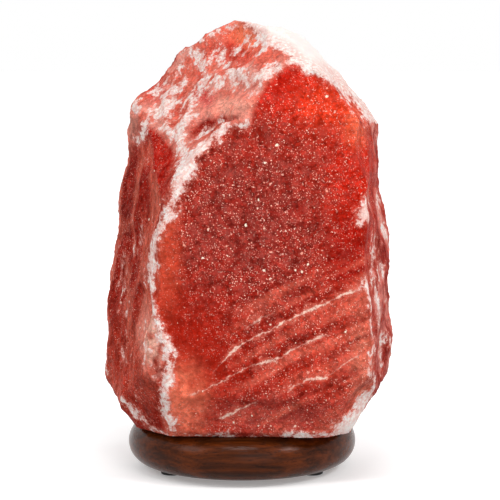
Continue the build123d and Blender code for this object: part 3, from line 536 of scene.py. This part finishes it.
splinter = patch_reach(x, z, [(-47, 92), (-43, 86), (-38, 72), (-36, 50), (-44, 58), (-53, 72)])
lower = on_face * share((104 - z + 0.4 * x) / 20) * share((x + 12) / 26)
paint = np.tile(np.array(linear("#A52A1C")[:3]), (len(points), 1))
for colour, weight in (
    # the whole block: darker and paler clouds, paler on ridges as painted light, and its beds
    ("#7E1D14", 0.4 + 1.6 * tone_noise + 0.5 * (wide_own - 0.5)),
    ("#D3604E", 0.1 + 1.7 * stain_noise + 0.5 * (small_own - 0.5) + 0.35 * ridge_light_hollow_shade),
    ("#E59A8B", 0.5 * beds + 0.5 * tone_noise + 0.7 * crumb_noise - 0.1),
    # the left side, with a pale splinter at its edge and a painted lit rim where it faces straight left
    ("#931B0F", on_left * 0.96),
    ("#6E120B", on_left * (0.7 * (tall_own - 0.45) + tone_noise)),
    ("#AE1206", front * (1 - on_face) * (1 - on_shoulder) * spread(-41, 161, 13, 19) * 0.9),
    # paler on the ridges of the left side: painted light
    ("#C8523F", on_left * (0.2 * ridge_light_hollow_shade - 0.15 + 0.5 * stain_noise)),
    # painted light: paler where the left side faces straight left, as light through its thin rim
    ("#D2604A", on_left * np.clip((-facing[:, 0] - 0.90) * 12, 0, 0.85)),
    ("#D0604C", on_left * spread(-46, 66, 7, 26) * 0.6),
    ("#B83A28", on_left * spread(-62, 52, 14, 24) * 0.6),
    ("#E39A88", on_left * spread(-57, 178, 6, 16) * 0.8),
    ("#DC7866", on_left * np.clip(splinter / 3 + 0.6 + stain_noise, 0, 0.85)),
    ("#F6BCA8", front * (1 - on_face) * spread(-43, 74, 6, 11) * (0.75 + 1.8 * crumb_noise)),
    # the right side
    ("#BE4238", 0.95 * on_right),
    ("#E79C92", on_right * (0.15 + 1.4 * stain_noise)),
    ("#8A241C", on_right * (0.2 - 1.3 * stain_noise)),
    # the flat front, with its stains and the beds of its lower part
    ("#B02616", on_face),
    ("#962319", stained(on_face, 2, 126, 50, 60, 1.0)),
    ("#8A241D", stained(on_face, 4, 128, 34, 40, 0.8)),
    ("#BE1F0E", stained(on_face, 55, 150, 14, 44, 0.9)),
    ("#A01006", stained(on_face, 53, 112, 11, 22, 0.9)),
    ("#CF2112", stained(on_face, 30, 196, 30, 16, 0.9)),
    ("#E23A1C", stained(on_face, 42, 188, 18, 12, 0.9)),
    ("#EC6442", stained(on_face, 57, 176, 9, 10, 0.7)),
    ("#CC4830", stained(on_face, -36, 112, 7, 30, 0.9)),
    ("#A31A0A", stained(on_face, -20, 70, 26, 30, 0.6)),
    ("#F0785A", stained(on_face, -28, 42, 12, 20, 0.9)),
    ("#CC4634", stained(on_face, 52, 60, 16, 30, 0.8)),
    ("#A8423A", stained(on_face, 18, 36, 42, 12, 0.6)),
    ("#DE7A62", stained(on_face, 58, 62, 6, 30, 0.7)),
    ("#D05A46", lower * (0.15 + 1.1 * beds)),
    ("#83180F", lower * (-1.2 * beds - 0.1)),
    # the broken shoulder, with its stains, painted shade in its hollows and the pocket under it
    ("#E86E5A", on_shoulder),
    # deeper red in the hollows of the shoulder: painted shade
    ("#BE2A1E", on_shoulder * (small_own - 0.5 - 0.35 * ridge_light_hollow_shade)),
    ("#F0A596", on_shoulder * (0.2 + 1.4 * (chunky_own - 0.5) + 0.6 * stain_noise)),
    ("#F4A28E", stained(on_shoulder, -8, 185, 15, 5, 1.0)),
    ("#F26450", stained(on_shoulder, 2, 216, 15, 9, 0.9)),
    ("#F87A54", stained(on_shoulder, 2, 219, 8, 7, 0.9)),
    ("#D33424", stained(on_shoulder, -7, 209, 10, 5, 0.9)),
    ("#C0382E", stained(on_shoulder, -44, 190, 8, 8, 0.8)),
    ("#C83A3A", stained(on_shoulder, -18, 188, 6, 5, 0.7)),
    # painted shade: the pocket under the shoulder is painted a deeper red
    ("#A01A10", front * share(patch_reach(x, z, POCKET) / 2 + 0.6 + 1.2 * stain_noise)),
):
    paint = mix_in(paint, colour, weight)

# how far each point lies inside the pale salt: its lines and patches, and the rims between the chisel's
# bowls, which are bruised white in places
over_top = np.maximum(front, share((facing[:, 2] - 0.15) * 5))
drawn = [within(front, line_reach(x, z, line)) for line in PALE_LINES]
for here, patch in zip((over_top, front, front, front), PALE_PATCHES):
    drawn.append(within(here, patch_reach(x, z, patch)))
rims = np.maximum.reduce([
    within(on_left, 0.6 - tall_rim - 3 * spread(-45, 162, 13, 20)) + 5.0 * stain_noise - 4.2,
    within(rest, 1.2 - wide_rim) + 3.0 * stain_noise - 2.1 - 4 * spread(-38, 160, 9, 18),
    within(rest, 0.5 - small_rim) + 4.0 * stain_noise - 3.9,
    within(on_shoulder, 0.9 - chunky_rim) + 2.6 * stain_noise - 0.9,
    within(on_shoulder, 5.0 * (stain_noise - 0.34)),
    within(on_right, 1.2 - small_rim) + 3.0 * stain_noise - 0.8,
])
rims -= 9 * share(patch_reach(x, z, POCKET) / 2 + 1.0) + 6 * on_shoulder * spread(-8, 185, 15, 6)
pale = np.clip(np.maximum.reduce([*drawn, rims]), -8, 8)

# how thick the small pale crystals and their painted glints lie, and where the salt is torn across its beds
grit = on_face * (
    0.50 + 0.4 * spread(4, 136, 50, 50) + 0.15 * spread(30, 62, 50, 40) - 0.40 * spread(-22, 66, 20, 30)
    - 0.25 * spread(52, 112, 12, 22) - 0.3 * spread(-36, 110, 8, 40)
) + (1 - on_face) * 0.12 + on_left * 0.28 + on_shoulder * 0.28
torn_across = share(on_left + 0.7 * on_right + 0.4 * rest)

# veins in three groups, each with its lines well apart from one another: places across and up
VEINS = [
    [[(-14, 58), (-8, 65), (-1, 71), (7, 76), (13, 78), (19, 82), (25, 85), (32, 88), (42, 92), (49, 96),
      (57, 98)],
     [(-14, 34), (-8, 36), (-2, 39), (3, 42), (8, 44)]],
    [[(-26, 47), (-18, 50), (-8, 55), (3, 61), (10, 63), (20, 66), (25, 70), (34, 74), (42, 77)]],
    [[(22, 49), (26, 52), (32, 55), (40, 56), (45, 59), (52, 64), (58, 67)],
     [(1, 79), (6, 82), (12, 86), (17, 87)]],
]
vein_away, vein_here = np.zeros((len(points), 3)), np.zeros((len(points), 3))
for group, veins in enumerate(VEINS):
    for vein in veins:
        across, up = np.array(vein).T
        away = z - np.interp(x, across, up)
        here = share((x - across[0]) / 5) * share((across[-1] - x) / 5) * on_face
        here *= share((7 - abs(away)) / 2)
        vein_away[:, group] = np.where(here > 0, away, vein_away[:, group])
        vein_here[:, group] = np.maximum(vein_here[:, group], here)

# each point of the skin keeps these for the material to read
for name, kind, field, values in (
    ("stain", "FLOAT_COLOR", "color", np.hstack([paint, np.ones((len(points), 1))])),
    ("pale", "FLOAT", "value", pale),
    ("grit", "FLOAT", "value", grit),
    ("torn_across", "FLOAT", "value", torn_across),
    ("broken", "FLOAT", "value", 1 - on_face),
    ("vein_away", "FLOAT_VECTOR", "vector", vein_away),
    ("vein_here", "FLOAT_VECTOR", "vector", vein_here),
):
    held = mesh.attributes.new(name, kind, "POINT")
    held.data.foreach_set(field, np.ascontiguousarray(values, np.float32).ravel())

# Rock salt: translucent pink to deep red, packed from small crystals; pale grains and painted glints of
# their faces show as pale points.
# Broken edges and veins are white and dull, the sides are torn into upright threads.
salt, skin = finish("hewn_rock_salt")
where = add(salt, "TexCoord", {})["Object"]
stain = add(salt, "Attribute", {}, attribute_name="stain")["Color"]
grit_here = add(salt, "Attribute", {}, attribute_name="grit")["Fac"]
threads_here = add(salt, "Attribute", {}, attribute_name="torn_across")["Fac"]
broken_here = add(salt, "Attribute", {}, attribute_name="broken")["Fac"]
pale_reach = add(salt, "Attribute", {}, attribute_name="pale")["Fac"]

# noise in lumps of 8, 3, 1.6 and 0.8 mm, shared by the layers below, and a place bent by it
patchy = add(salt, "TexNoise", {"Vector": where, "Scale": MM / 8.0, "Detail": 3.0, "Roughness": 0.6})["Fac"]
ragged = add(salt, "TexNoise", {"Vector": where, "Scale": MM / 3.0, "Detail": 6.0,
                                "Roughness": 0.78})["Fac"]
crumbly = add(salt, "TexNoise", {"Vector": where, "Scale": MM / 1.6, "Detail": 2.0, "Roughness": 0.6})
crumbs = crumbly["Fac"]
fine = add(salt, "TexNoise", {"Vector": where, "Scale": MM / 0.8, "Detail": 1.0, "Roughness": 0.6})["Fac"]
wander = add(salt, "VectorMath", {0: crumbly["Color"], "Scale": 0.0018}, operation="SCALE")
bent = add(salt, "VectorMath", {0: where, 1: wander[0]}, operation="ADD")[0]

# crystals about 1.5 mm across, each a little darker or lighter than the next
crystals = add(salt, "TexVoronoi", {"Vector": bent, "Scale": MM / 1.5})
own = add(salt, "SeparateColor", {0: crystals["Color"]})
facet = add(salt, "MapRange", {0: own[0], 3: 0.66, 4: 1.34})
crumb = add(salt, "MapRange", {0: crumbs, 1: 0.36, 2: 0.64, 3: 0.80, 4: 1.22})
light = add(salt, "Math", {0: facet[0], 1: crumb[0]}, operation="MULTIPLY")
packed = add(salt, "MapRange", {0: grit_here, 2: 0.8, 3: 0.3})
light = add(salt, "Mix", {0: packed[0], 2: 1.0, 3: light[0]})
drift = add(salt, "MapRange", {0: patchy, 1: 0.34, 2: 0.66, 3: 0.78, 4: 1.24})
light = add(salt, "Math", {0: light[0], 1: drift[0]}, operation="MULTIPLY")
# upright threads where the salt is torn across its beds
tall_place = add(salt, "Mapping", {"Vector": where, "Scale": (1.0, 1.0, 0.16)})[0]
torn = add(salt, "TexNoise", {"Vector": tall_place, "Scale": MM / 1.8, "Detail": 4.0, "Roughness": 0.7})
threads = add(salt, "MapRange", {0: torn["Fac"], 1: 0.36, 2: 0.66, 3: 0.80, 4: 1.22})
threads = add(salt, "Mix", {0: threads_here, 2: 1.0, 3: threads[0]})
light = add(salt, "Math", {0: light[0], 1: threads[0]}, operation="MULTIPLY")
tint = add(salt, "VectorMath", {0: stain, "Scale": light[0]}, operation="SCALE")
# a thin veil of paler salt between them
mist = add(salt, "TexNoise", {"Vector": where, "Scale": MM / 4.0, "Detail": 4.0, "Roughness": 0.7})
veil = add(salt, "MapRange", {0: mist["Fac"], 1: 0.42, 2: 0.70, 4: 0.5})
veil = add(salt, "Math", {0: veil[0], 1: grit_here}, operation="MULTIPLY")
tint = add(salt, "Mix", {0: veil[0], 6: tint[0], 7: linear("#B85A50")}, data_type="RGBA")[2]

# pale points, both pale grains and painted glints: ragged grains of half a millimetre in drifts, and single
# crystals of 1 to 2 mm
drifts = add(salt, "MapRange", {0: patchy, 1: 0.38, 2: 0.60, 3: 0.25, 4: 1.25})
drifts = add(salt, "Math", {0: grit_here, 1: drifts[0]}, operation="MULTIPLY")
# they gather in chains along the joints between the crystals
chain = add(salt, "Math", {0: mist["Fac"], 1: 0.5}, operation="SUBTRACT")
chain = add(salt, "Math", {0: chain[0]}, operation="ABSOLUTE")
chain = add(salt, "MapRange", {0: chain[0], 2: 0.09, 3: 1.9, 4: 0.30})
drifts = add(salt, "Math", {0: drifts[0], 1: chain[0]}, operation="MULTIPLY")
grain_glints = add(salt, "TexNoise", {"Vector": where, "Scale": MM / 0.7, "Detail": 1.0, "Roughness": 0.6})
grain = add(salt, "MapRange", {0: grain_glints["Fac"], 1: 0.57, 2: 0.66, 4: 1.1})
grain = add(salt, "Math", {0: grain[0], 1: drifts[0]}, operation="MULTIPLY")
heart = add(salt, "MapRange", {0: grain_glints["Fac"], 1: 0.63, 2: 0.74})
shade = add(salt, "Mix", {0: heart[0], 6: linear("#E06C5A"), 7: linear("#FFE4D2")}, data_type="RGBA")
tint = add(salt, "Mix", {0: grain[0], 6: tint, 7: shade[2]}, data_type="RGBA")[2]
# single crystals of 1 to 2 mm, painted pale as pale salt and as glints off their faces
spots = add(salt, "TexVoronoi", {"Vector": bent, "Scale": MM / 3.0})
chance = add(salt, "SeparateColor", {0: spots["Color"]})
size = add(salt, "Math", {0: grit_here, 1: 0.16, 2: chance[0]}, operation="MULTIPLY_ADD")
size = add(salt, "MapRange", {0: size[0], 1: 0.85, 2: 1.1, 3: -0.12, 4: 0.27})
spot = add(salt, "Math", {0: size[0], 1: spots["Distance"]}, operation="SUBTRACT")
spot = add(salt, "MapRange", {0: spot[0], 1: -0.02, 2: 0.05})
heart = add(salt, "MapRange", {0: chance[1], 1: 0.3, 2: 0.8})
shade = add(salt, "Mix", {0: heart[0], 6: linear("#F2A08C"), 7: linear("#FFEBD6")}, data_type="RGBA")
tint = add(salt, "Mix", {0: spot[0], 6: tint, 7: shade[2]}, data_type="RGBA")[2]

# veins of pale salt that dip across the front: a knotted white thread in a soft pink band
away = add(salt, "Attribute", {}, attribute_name="vein_away")["Vector"]
here = add(salt, "Attribute", {}, attribute_name="vein_here")["Vector"]
jag = add(salt, "MapRange", {0: ragged, 1: 0.3, 2: 0.7, 3: -1.0})
off = add(salt, "VectorMath", {0: away, 1: jag[0]}, operation="ADD")
off = add(salt, "VectorMath", {0: off[0]}, operation="ABSOLUTE")
knots = add(salt, "MapRange", {0: patchy, 1: 0.40, 2: 0.62, 3: 0.30, 4: 1.5})
beads = add(salt, "MapRange", {0: crumbs, 1: 0.36, 2: 0.56, 3: 0.35})
for half_width, shade, strength in ((3.2, "#D66A58", 0.65), (0.8, "#F8D6C4", 1.0)):
    reach = add(salt, "VectorMath", {0: (half_width,) * 3, "Scale": knots[0]}, operation="SCALE")
    near = add(salt, "VectorMath", {0: reach[0], 1: off[0]}, operation="SUBTRACT")
    near = add(salt, "VectorMath", {0: near[0], 1: here}, operation="MULTIPLY")
    first, second, third = add(salt, "SeparateXYZ", {0: near[0]})
    near = add(salt, "Math", {0: first, 1: second}, operation="MAXIMUM")
    near = add(salt, "Math", {0: near[0], 1: third}, operation="MAXIMUM")
    vein = add(salt, "MapRange", {0: near[0], 2: 0.8 * half_width, 4: strength})
    vein = add(salt, "Math", {0: vein[0], 1: beads[0]}, operation="MULTIPLY")
    tint = add(salt, "Mix", {0: vein[0], 6: tint, 7: linear(shade)}, data_type="RGBA")[2]

# frost: bruised white salt along the breaks, with a pink blush round it
jag = add(salt, "MapRange", {0: ragged, 1: 0.3, 2: 0.7, 3: -3.2, 4: 3.2})
drift = add(salt, "MapRange", {0: patchy, 1: 0.3, 2: 0.7, 3: -2.4, 4: 2.4})
frost = add(salt, "Math", {0: pale_reach, 1: jag[0]}, operation="ADD")
frost = add(salt, "Math", {0: frost[0], 1: drift[0]}, operation="ADD")
blush = add(salt, "MapRange", {0: frost[0], 1: -3.0, 2: 0.2, 4: 0.65})
beads = add(salt, "MapRange", {0: crumbs, 1: 0.34, 2: 0.6, 3: 0.4})
blush = add(salt, "Math", {0: blush[0], 1: beads[0]}, operation="MULTIPLY")
tint = add(salt, "Mix", {0: blush[0], 6: tint, 7: linear("#E0806E")}, data_type="RGBA")[2]
crumb = add(salt, "MapRange", {0: crumbs, 1: 0.36, 2: 0.58, 3: 0.15})
drift = add(salt, "MapRange", {0: patchy, 1: 0.34, 2: 0.54, 3: 0.45})
whiter = add(salt, "Math", {0: crumb[0], 1: drift[0]}, operation="MULTIPLY")
deep = add(salt, "MapRange", {0: pale_reach, 1: 2.0, 2: 7.0})
whiter = add(salt, "Math", {0: whiter[0], 1: deep[0]}, operation="MAXIMUM")
white = add(salt, "Mix", {0: whiter[0], 6: linear("#E9A99C"), 7: linear("#FBF1EC")}, data_type="RGBA")
pits = add(salt, "MapRange", {0: fine, 1: 0.60, 2: 0.70, 4: 0.6})
shallow = add(salt, "MapRange", {0: pale_reach, 1: 7.0, 2: 2.0})
pits = add(salt, "Math", {0: pits[0], 1: shallow[0]}, operation="MULTIPLY")
white = add(salt, "Mix", {0: pits[0], 6: white[2], 7: linear("#C46A60")}, data_type="RGBA")
cover = add(salt, "MapRange", {0: frost[0], 1: -1.0, 2: 1.3, 4: 0.97},
            interpolation_type="SMOOTHSTEP")
tint = add(salt, "Mix", {0: cover[0], 6: tint, 7: white[2]}, data_type="RGBA")[2]

# relief of grains and crystals, up to 0.9 mm and half as deep on the flat front; frost is duller
height = add(salt, "Math", {0: fine, 1: ragged}, operation="ADD")
height = add(salt, "Math", {0: crystals["Distance"], 1: 0.5, 2: height[0]}, operation="MULTIPLY_ADD")
depth = add(salt, "MapRange", {0: broken_here, 3: 0.45, 4: 0.9})
relief = add(salt, "Bump", {"Strength": depth[0], "Distance": 0.0009, "Height": height[0]})
dull = add(salt, "MapRange", {0: frost[0], 1: -0.2, 2: 0.5, 3: 0.30, 4: 0.60})
feed(salt, skin, {"Base Color": tint, "Roughness": dull[0], "Normal": relief[0], "IOR": 1.54,
                  "Specular IOR Level": 0.004, "Subsurface Weight": 0.15,
                  "Subsurface Radius": (1.0, 0.35, 0.25), "Subsurface Scale": 0.003})
dress(hewn_salt, salt, "lamp_body", "rock_salt", "salt_crystal")


# ---- Screws and wall plugs of the salt ----
# Three nylon wall plugs are pressed into the salt, and zinc-plated screws come up into them through
# counterbored holes in the base.

SALT_SCREW_SEAT = 10.7

# Moulded nylon: pale grey, waxy, slightly see-through.
nylon = grained("grey_nylon", "#A9A8A3", "#BDBBB5", (0.42, 0.55), 6.0, 20)
coat("crystal_plugs", nylon)
salt_screw = screw(head=8.0, rise=2.6, shank=4.0, length=40.0, pitch=1.8)
salt_screws = drive("cross_salt_screws", salt_screw, upright(plug_places, SALT_SCREW_SEAT))
dress(salt_screws, zinc, "lamp_body", "zinc_steel", "crystal_screws")


# ---- Plate, cord inlet and spring clips ----
# A pressed steel disc closes the base's hole. The nylon inlet for the cord is in its middle, and two bent
# strips of spring steel are riveted to it, which hold the lamp holder up in the base.

# Passivated steel sheet: grey with a faint lengthwise rolling grain.
plate_steel = grained("rolled_steel_sheet", "#8B8E92", "#B9BCBF", (0.28, 0.44), 2.2, 25, metallic=1.0,
                      stretch=(0.12, 1, 1))
coat("flange_plate", plate_steel)
# Black nylon: a moulded satin black that scuffs to grey.
black_nylon = grained("black_nylon", "#141416", "#222225", (0.36, 0.52), 4.0, 20)
coat("cord_bushing", black_nylon)
# Spring steel: darker and shinier than the plate, with fine scratches along the strip.
spring = grained("spring_steel_strip", "#6E7176", "#A7AAAF", (0.20, 0.34), 1.2, 15, metallic=1.0,
                 stretch=(1, 0.2, 1))
for node in ("clip_feet", "clip_wing_left", "clip_wing_right"):
    coat(node, spring)
coat("clip_rivets", zinc)


# ---- Lamp holder's case ----
# Two turned shells of black moulded resin that push together. Two screws from below and their nuts hold
# the lower one to the plate.

CASE_SCREW_CIRCLE, CASE_SCREW_SEAT = 8.9, 13.7
RIBS, RIB_CIRCLE, RIB_RADIUS, RIB_LENGTH, RIB_MIDDLE = 48, 13.9, 0.28, 16.0, 36.5

# Phenolic resin: glossy black with a little brown in it, and faint flow marks.
resin = grained("black_phenolic_resin", "#0F0D0D", "#211C1B", (0.24, 0.40), 7.0, 15)
coat("holder_base", resin)
sleeve = bmesh.new()
turn(sleeve, [(13.2, 30.7), (13.2, 24.7), (14.0, 24.7), (14.0, 26.2), (13.75, 26.4), (13.75, 27.4),
              (14.0, 27.6), (14.0, 56.075), (13.81, 56.5), (13.375, 56.7), (12.125, 56.7), (11.69, 56.5),
              (11.5, 56.075), (11.5, 30.7)], steps=72)
for across, deep in polar(RIB_CIRCLE, RIBS, 0):
    middle = Matrix.Translation((across / MM, deep / MM, RIB_MIDDLE / MM))
    bmesh.ops.create_cone(sleeve, cap_ends=True, segments=8, radius1=RIB_RADIUS / MM,
                          radius2=RIB_RADIUS / MM, depth=RIB_LENGTH / MM, matrix=middle)
dress(stand("resin_sleeve", sleeve), resin, "holder", "holder_black", "holder_sleeve")
case_screw = screw(head=5.5, rise=1.8, shank=3.0, length=6.9, pitch=0.5)
case_screw_places = upright(polar(CASE_SCREW_CIRCLE, 2, 90), CASE_SCREW_SEAT, twist=40)
case_screws = drive("cross_case_screws", case_screw, case_screw_places)
dress(case_screws, zinc, "holder", "zinc_steel", "holder_screws")
coat("holder_nuts", zinc)


# ---- Contacts and screw shell ----
# A fired steatite disc carries the two brass contacts with their terminal screws, and the rolled brass
# shell that the bulb screws into.

THREAD_PITCH = 2.822
CLAMP_HEIGHT = 26.2


def rolled(shape, low, high, radius, depth, wall, around=40, per_pitch=8):
    """A sheet rolled to a screw thread as deep as depth, from low to high; wall is measured outwards."""
    count = int(round((high - low) / THREAD_PITCH * per_pitch))
    spots = []
    for i in range(count + 1):
        out = radius + depth * (0.5 - 0.5 * cos(2 * pi * i / per_pitch))
        spots.append(shape.verts.new((out / MM, 0, (low + THREAD_PITCH * i / per_pitch) / MM)))
    lines = [shape.edges.new(pair) for pair in zip(spots, spots[1:])]
    bmesh.ops.spin(shape, geom=spots + lines, cent=(0, 0, 0), axis=(0, 0, 1), angle=2 * pi, steps=around,
                   dvec=(0, 0, THREAD_PITCH / MM / around), use_merge=False)
    bmesh.ops.remove_doubles(shape, verts=shape.verts, dist=5e-6)
    bmesh.ops.recalc_face_normals(shape, faces=shape.faces)
    bmesh.ops.solidify(shape, geom=shape.faces[:], thickness=wall / MM)


# Steatite: fired white clay, matt, with a fine dark speck here and there.
steatite = grained("fired_steatite", "#D5CFC4", "#ECE8DF", (0.55, 0.72), 1.4, 30)
coat("contact_carrier", steatite)
# Rolled brass: yellow, dulled brown in patches where it was handled.
brass = grained("rolled_brass", "#A88442", "#DDBD74", (0.22, 0.40), 2.4, 20, metallic=1.0)
for node in ("centre_contact", "side_contact", "shell_rivets"):
    coat(node, brass)
shell = bmesh.new()
rolled(shell, low=37.2, high=49.3, radius=7.08, depth=0.28, wall=0.3)
turn(shell, [(7.05, 36.2), (9.5, 36.2), (9.5, 36.6), (7.75, 36.6), (7.5, 36.9), (7.4, 37.6), (7.4, 40.6),
             (7.05, 40.6)])
turn(shell, [(7.05, 49.4), (7.4, 49.4), (7.4, 52.4), (7.65, 52.55), (7.65, 52.7), (7.2, 52.7),
             (7.05, 52.5)])
dress(stand("rolled_shell", shell), brass, "holder", "brass_shell", "thread_shell")
clamp = screw(head=4.4, rise=1.6, shank=2.5, length=2.3, pitch=0.45)
sideways = [
    Matrix.Translation((-5.58 / MM, 0, CLAMP_HEIGHT / MM)) @ Matrix.Rotation(radians(-90), 4, "Y"),
    Matrix.Translation((9.53 / MM, 0, CLAMP_HEIGHT / MM)) @ Matrix.Rotation(radians(90), 4, "Y"),
]
dress(drive("cross_terminal_screws", clamp, sideways), zinc, "holder", "zinc_steel", "terminal_screws")


# ---- Bulb ----
# A small clear filament bulb: blown glass with a pressed stem inside, cemented into a nickel-plated
# cap with a rolled thread. Black glass insulates its tip contact.

# Solder: dull grey and lumpy.
solder = grained("tin_solder", "#8E8E8C", "#BDBDBA", (0.30, 0.50), 1.0, 60, metallic=1.0)
coat("bulb_tip_contact", solder)
# Vitrite: opaque black glass, glossy and slightly wavy.
vitrite = grained("black_vitrite", "#0B090C", "#1B161D", (0.08, 0.16), 3.0, 30)
coat("bulb_insulator", vitrite)
# Nickel plate on brass: warm silver, with faint stains from soldering.
nickel = grained("nickel_plated_brass", "#A39E94", "#D2CEC5", (0.18, 0.34), 2.0, 15, metallic=1.0)
cap = bmesh.new()
rolled(cap, low=42.6, high=51.2, radius=6.18, depth=0.47, wall=0.3)
turn(cap, [(5.45, 41.9), (5.8, 41.9), (6.45, 42.1), (6.65, 42.6), (6.65, 45.3), (6.35, 45.3), (6.35, 42.7),
           (5.45, 42.2)])
turn(cap, [(6.3, 51.0), (6.65, 51.0), (6.65, 53.4), (7.5, 53.9), (7.6, 54.3), (7.6, 56.9), (7.3, 56.9),
           (6.65, 54.2), (6.3, 53.8)])
dress(stand("rolled_cap", cap), nickel, "bulb", "nickel_cap", "bulb_cap")

# Clear soda glass, blown: thin, colourless, and very slightly wavy, a wave every 8 mm or so.
glass, skin = finish("blown_soda_glass")
where = add(glass, "TexCoord", {})["Object"]
ripple = add(glass, "TexNoise", {"Vector": where, "Scale": 120.0, "Detail": 1.0})
relief = add(glass, "Bump", {"Strength": 0.1, "Distance": 0.0002, "Height": ripple["Fac"]})
haze = add(glass, "MapRange", {0: ripple["Fac"], 4: 0.03})
feed(glass, skin, {"Base Color": linear("#F7FAF9"), "Roughness": haze[0], "Normal": relief[0],
                   "Transmission Weight": 1.0, "IOR": 1.5})
coat("bulb_glass", glass)
coat("bulb_stem", glass)
# Nickel-iron lead wire and tungsten: dull grey, the filament nearly black.
lead = grained("nickel_iron_wire", "#6F6A63", "#9A948B", (0.30, 0.45), 1.0, 10, metallic=1.0)
coat("bulb_leads", lead)
tungsten = grained("drawn_tungsten", "#3B3936", "#5C5955", (0.40, 0.55), 0.6, 10, metallic=1.0)
# its wire is wound into a coil that hangs in an arch between the leads; radii in metres
WIRE, COIL, TURNS, PER_TURN = 0.00006, 0.00022, 36, 10
coil = bpy.data.curves.new("coil", "CURVE")
coil.dimensions, coil.bevel_depth, coil.bevel_resolution, coil.use_fill_caps = "3D", WIRE, 2, True
winding = coil.splines.new("POLY")
filament_low, filament_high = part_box("bulb_filament")
half, foot, arch = filament_high.x, filament_low.z + 0.00015, filament_high.z - filament_low.z - 0.0003
winding.points.add(TURNS * PER_TURN)
for i, point in enumerate(winding.points):
    part = i / (TURNS * PER_TURN)
    angle = 2 * pi * i / PER_TURN
    point.co = (half * (2 * part - 1), COIL * cos(angle),
                foot + arch * 4 * part * (1 - part) + COIL * sin(angle), 1)
coiled = put("coil", coil)
filament = bpy.data.objects.new("coiled_filament", evaluated(coiled))
bpy.data.objects.remove(coiled)
bpy.context.scene.collection.objects.link(filament)
dress(filament, tungsten, "bulb", "tungsten", "bulb_filament")


# ---- Stage, light and camera ----
# A white table in a white room, under five soft boxes: above and in front of the lamp, to its right and
# left, and a faint one behind it.

sheet = bmesh.new()
bmesh.ops.create_grid(sheet, x_segments=1, y_segments=1, size=3.0)
table = put("table", meshed("table", sheet))


def seen(material):
    """1 for what the camera sees, also in gloss and through glass, and 0 for the light on the lamp."""
    ray = add(material, "LightPath", {})
    either = add(material, "Math", {0: ray["Is Camera Ray"], 1: ray["Is Glossy Ray"]}, operation="ADD")
    return add(material, "Math", {0: either[0], 1: ray["Is Transmission Ray"]}, operation="ADD",
               use_clamp=True)[0]


# White laminate: it glows a little where it is seen, more so far from the lamp, so that it is white there;
# the weaker glow near the lamp is painted shade that deepens the lamp's shadow there. From below it is
# clear.
white_table, skin = finish("white_table")
place = add(white_table, "TexCoord", {})["Object"]
far = add(white_table, "VectorMath", {0: place}, operation="LENGTH")["Value"]
glow_with_painted_shade = add(white_table, "MapRange", {0: far, 1: 0.08, 2: 0.5, 3: 0.25, 4: 0.5})
glow = add(white_table, "Math", {0: seen(white_table), 1: glow_with_painted_shade[0]}, operation="MULTIPLY")
feed(white_table, skin, {"Base Color": (0.9, 0.9, 0.9, 1.0), "Roughness": 0.6, "Specular IOR Level": 0.2,
                         "Emission Color": (1, 1, 1, 1), "Emission Strength": glow[0]})
table.data.materials.append(white_table)
below = add(white_table, "NewGeometry", {})["Backfacing"]
clear = add(white_table, "BsdfTransparent", {})
one_way = add(white_table, "MixShader", {0: below, 1: skin.outputs[0], 2: clear[0]})
feed(white_table, white_table.node_tree.nodes["Material Output"], {"Surface": one_way[0]})
# it throws neither light nor shadow on the lamp, so that the room lights the underside in views from below
table.visible_diffuse = table.visible_shadow = False

world = bpy.data.worlds.new("white_room")
bpy.context.scene.world = world
world.use_nodes = True
air, out = world.node_tree.nodes["Background"], world.node_tree.nodes["World Output"]
feed(world, air, {"Color": (1, 1, 1, 1), "Strength": 0.60})
wall = add(world, "Background", {"Color": (1, 1, 1, 1), "Strength": 1.0})
mixed = add(world, "MixShader", {0: seen(world), 1: air.outputs[0], 2: wall[0]})
feed(world, out, {"Surface": mixed[0]})

# the boxes stand round the middle of the lamp: degrees to the right and up, metres away, and their size
AIM = Vector((0.00402, 0.0, 0.1103))
for name, azimuth, up, away, width, tall, power in (
    ("soft_box_above", -4, 60, 1.1, 0.42, 0.20, 2.8),
    ("soft_box_right", 60, 38, 1.1, 0.34, 0.24, 4.4),
    ("soft_box_front", 15, 14, 1.4, 0.90, 0.90, 3.1),
    ("soft_box_left", -60, 36, 1.2, 0.50, 0.50, 3.0),
    ("soft_box_back", 200, 45, 1.3, 0.80, 0.80, 1.8),
):
    lamp = bpy.data.lights.new(name, "AREA")
    lamp.shape, lamp.size, lamp.size_y, lamp.energy = "RECTANGLE", width, tall, power
    flat = cos(radians(up))
    way = Vector((sin(radians(azimuth)) * flat, -cos(radians(azimuth)) * flat, sin(radians(up))))
    box = put(name, lamp)
    box.location = AIM + way * away
    box.rotation_euler = way.to_track_quat("Z", "Y").to_euler()

# a long lens, straight in front of the lamp and 7.7 degrees above its middle
lens = bpy.data.cameras.new("camera")
lens.sensor_width = 36.0
lens.lens = 186.05
lens.clip_start, lens.clip_end = 0.05, 20.0
camera = put("camera", lens)
camera.location = (AIM.x, -1.2882, 0.2854)
camera.rotation_euler = (camera.location - AIM).to_track_quat("Z", "Y").to_euler()
bpy.context.scene.camera = camera
bpy.context.scene.view_settings.view_transform = "Standard"
